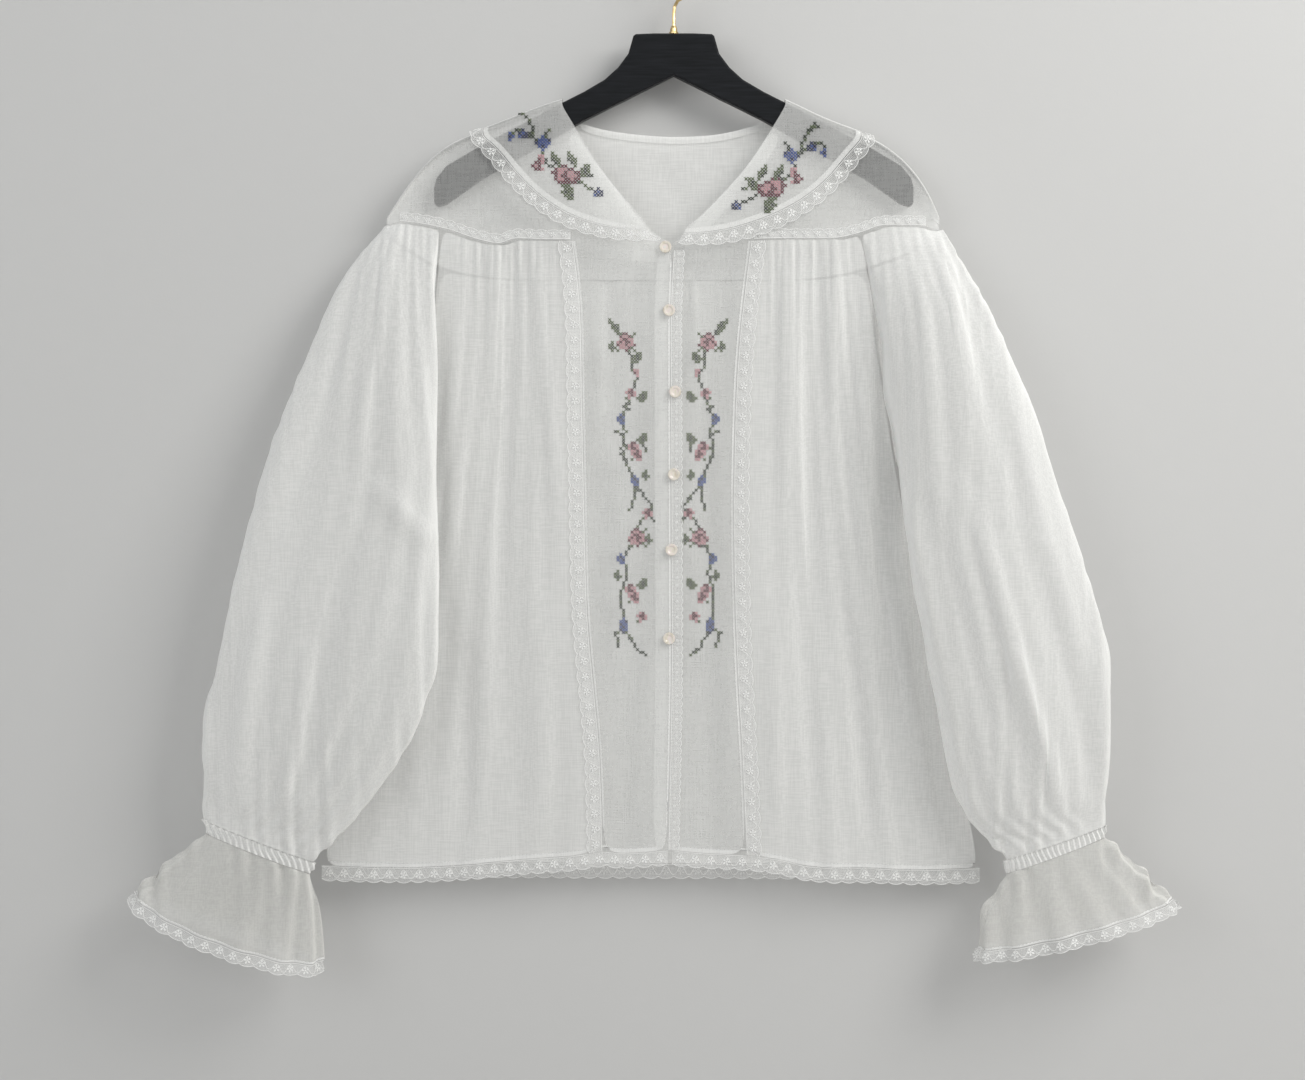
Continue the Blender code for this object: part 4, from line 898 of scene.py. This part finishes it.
LEFT = (-1, 0, 0)
RIGHT = (1, 0, 0)
UP = (0, 0, 1)
DOWN = (0, 0, -1)
for side, way in (("left", LEFT), ("right", RIGHT)):
    lace("yoke_lace_" + side, FRONT, UP, 9.5, 1.2, hem=-6, on=["front_" + side])
    lace("seam_lace_" + side, FRONT, way, 12.7, 1.6, hem=2, on=["front_" + side])
    lace("ruffle_lace_" + side, None, DOWN, 12.7, 1.8, hem=2.2, on=["ruffle_" + side])
    lace("hem_lace_front_" + side, FRONT, DOWN, 12.7, 1.8, hem=3.8,
         on=["front_" + side, "side_front_" + side])
lace("hem_lace_back", BACK, DOWN, 12.7, 1.8, hem=3.8, on=["back"])
lace("collar_lace", FRONT, None, 12.7, 1.8, hem=4.5, on=["collar"])
lace("placket_lace", FRONT, RIGHT, 6.5, 0.8, vine=False, hem=2, on=["placket"])


# The buttons: six small shanked buttons turned from pale river shell.
# Each is sewn on through its shank, down the middle of the front.

shell, tree, surface = shader("pearly_shell", (0.80, 0.74, 0.63), 0.16, specular=0.6)
clouds = stretched_noise(tree, (1, 1, 0.5), 420.0, detail=3.0)
tinted(tree, surface, clouds, ((0.3, (0.66, 0.58, 0.46)), (0.5, (0.84, 0.79, 0.69)),
                               (0.62, (0.86, 0.74, 0.70)), (0.75, (0.74, 0.80, 0.74))))
bump(tree, surface, clouds, 0.1, 0.1 * MM)
surface.inputs["Coat Weight"].default_value = 0.7
surface.inputs["Coat Roughness"].default_value = 0.08
for i in range(1, 7):
    set_material(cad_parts["button_%d" % i], shell)


# The setting: a pale plaster wall close behind, a pale floor far below, and soft daylight
# from a window on the right, with fill from the left and through the cloth from behind.

WALL_Y = 24 * MM
FLOOR_Z = -1.05


def stage_plane(name, corners, colour):
    mesh = bpy.data.meshes.new(name)
    mesh.from_pydata(corners, [], [(0, 1, 2, 3)])
    plane = new_piece(name, mesh)
    material, tree, surface = shader(name, colour, 0.9, specular=0.1)
    bump(tree, surface, stretched_noise(tree, (1, 1, 1), 500.0, detail=0.0), 0.15, 0.2 * MM)
    facing = node(tree, "ShaderNodeNewGeometry")
    clear = node(tree, "ShaderNodeBsdfTransparent")
    mix = node(tree, "ShaderNodeMixShader")
    tree.links.new(facing.outputs["Backfacing"], mix.inputs["Fac"])
    tree.links.new(surface.outputs["BSDF"], mix.inputs[1])
    tree.links.new(clear.outputs["BSDF"], mix.inputs[2])
    tree.links.new(mix.outputs["Shader"], tree.nodes["Material Output"].inputs["Surface"])
    set_material(plane, material)
    plane.visible_shadow = False


stage_plane("plaster_wall",
            [(-3, WALL_Y, FLOOR_Z), (3, WALL_Y, FLOOR_Z), (3, WALL_Y, 2), (-3, WALL_Y, 2)],
            (0.62, 0.617, 0.605))
stage_plane("pale_floor", [(-3, -4, FLOOR_Z), (3, -4, FLOOR_Z), (3, 4, FLOOR_Z), (-3, 4, FLOOR_Z)],
            (0.60, 0.59, 0.58))


def soft_light(name, place, aim, size, power, colour):
    data = bpy.data.lights.new(name, "AREA")
    data.shape = "RECTANGLE"
    data.size, data.size_y = size
    data.energy = power
    data.color = colour
    lamp = new_piece(name, data)
    lamp.location = place
    lamp.rotation_euler = (Vector(aim) - Vector(place)).to_track_quat("-Z", "Y").to_euler()


MIDDLE = (-0.0176, 0, -0.478)
soft_light("window_light", (1.5, -1.4, 0.9), (0.0, 0, -0.4), (1.3, 1.3), 39, (1.0, 0.995, 0.98))
soft_light("left_fill", (-2.0, -2.2, 0.2), MIDDLE, (1.8, 1.8), 17, (0.97, 0.985, 1.0))
soft_light("back_light", (0.6, 2.4, 1.0), MIDDLE, (1.8, 1.8), 25, (1.0, 1.0, 1.0))

world = bpy.data.worlds.new("pale_room")
world.use_nodes = True
world.node_tree.nodes["Background"].inputs["Color"].default_value = (0.92, 0.94, 0.96, 1)
world.node_tree.nodes["Background"].inputs["Strength"].default_value = 0.42
bpy.context.scene.world = world

camera_data = bpy.data.cameras.new("camera")
camera_data.lens = 67.3
camera_data.sensor_width = 36
camera = new_piece("camera", camera_data)
camera.location = (MIDDLE[0], -2.02, MIDDLE[2])
camera.rotation_euler = (math.radians(90), 0, 0)
bpy.context.scene.camera = camera
bpy.context.scene.view_settings.view_transform = "Standard"
cycles = bpy.context.scene.cycles
cycles.transparent_max_bounces = 7
cycles.diffuse_bounces = 2
cycles.light_sampling_threshold = 0.2
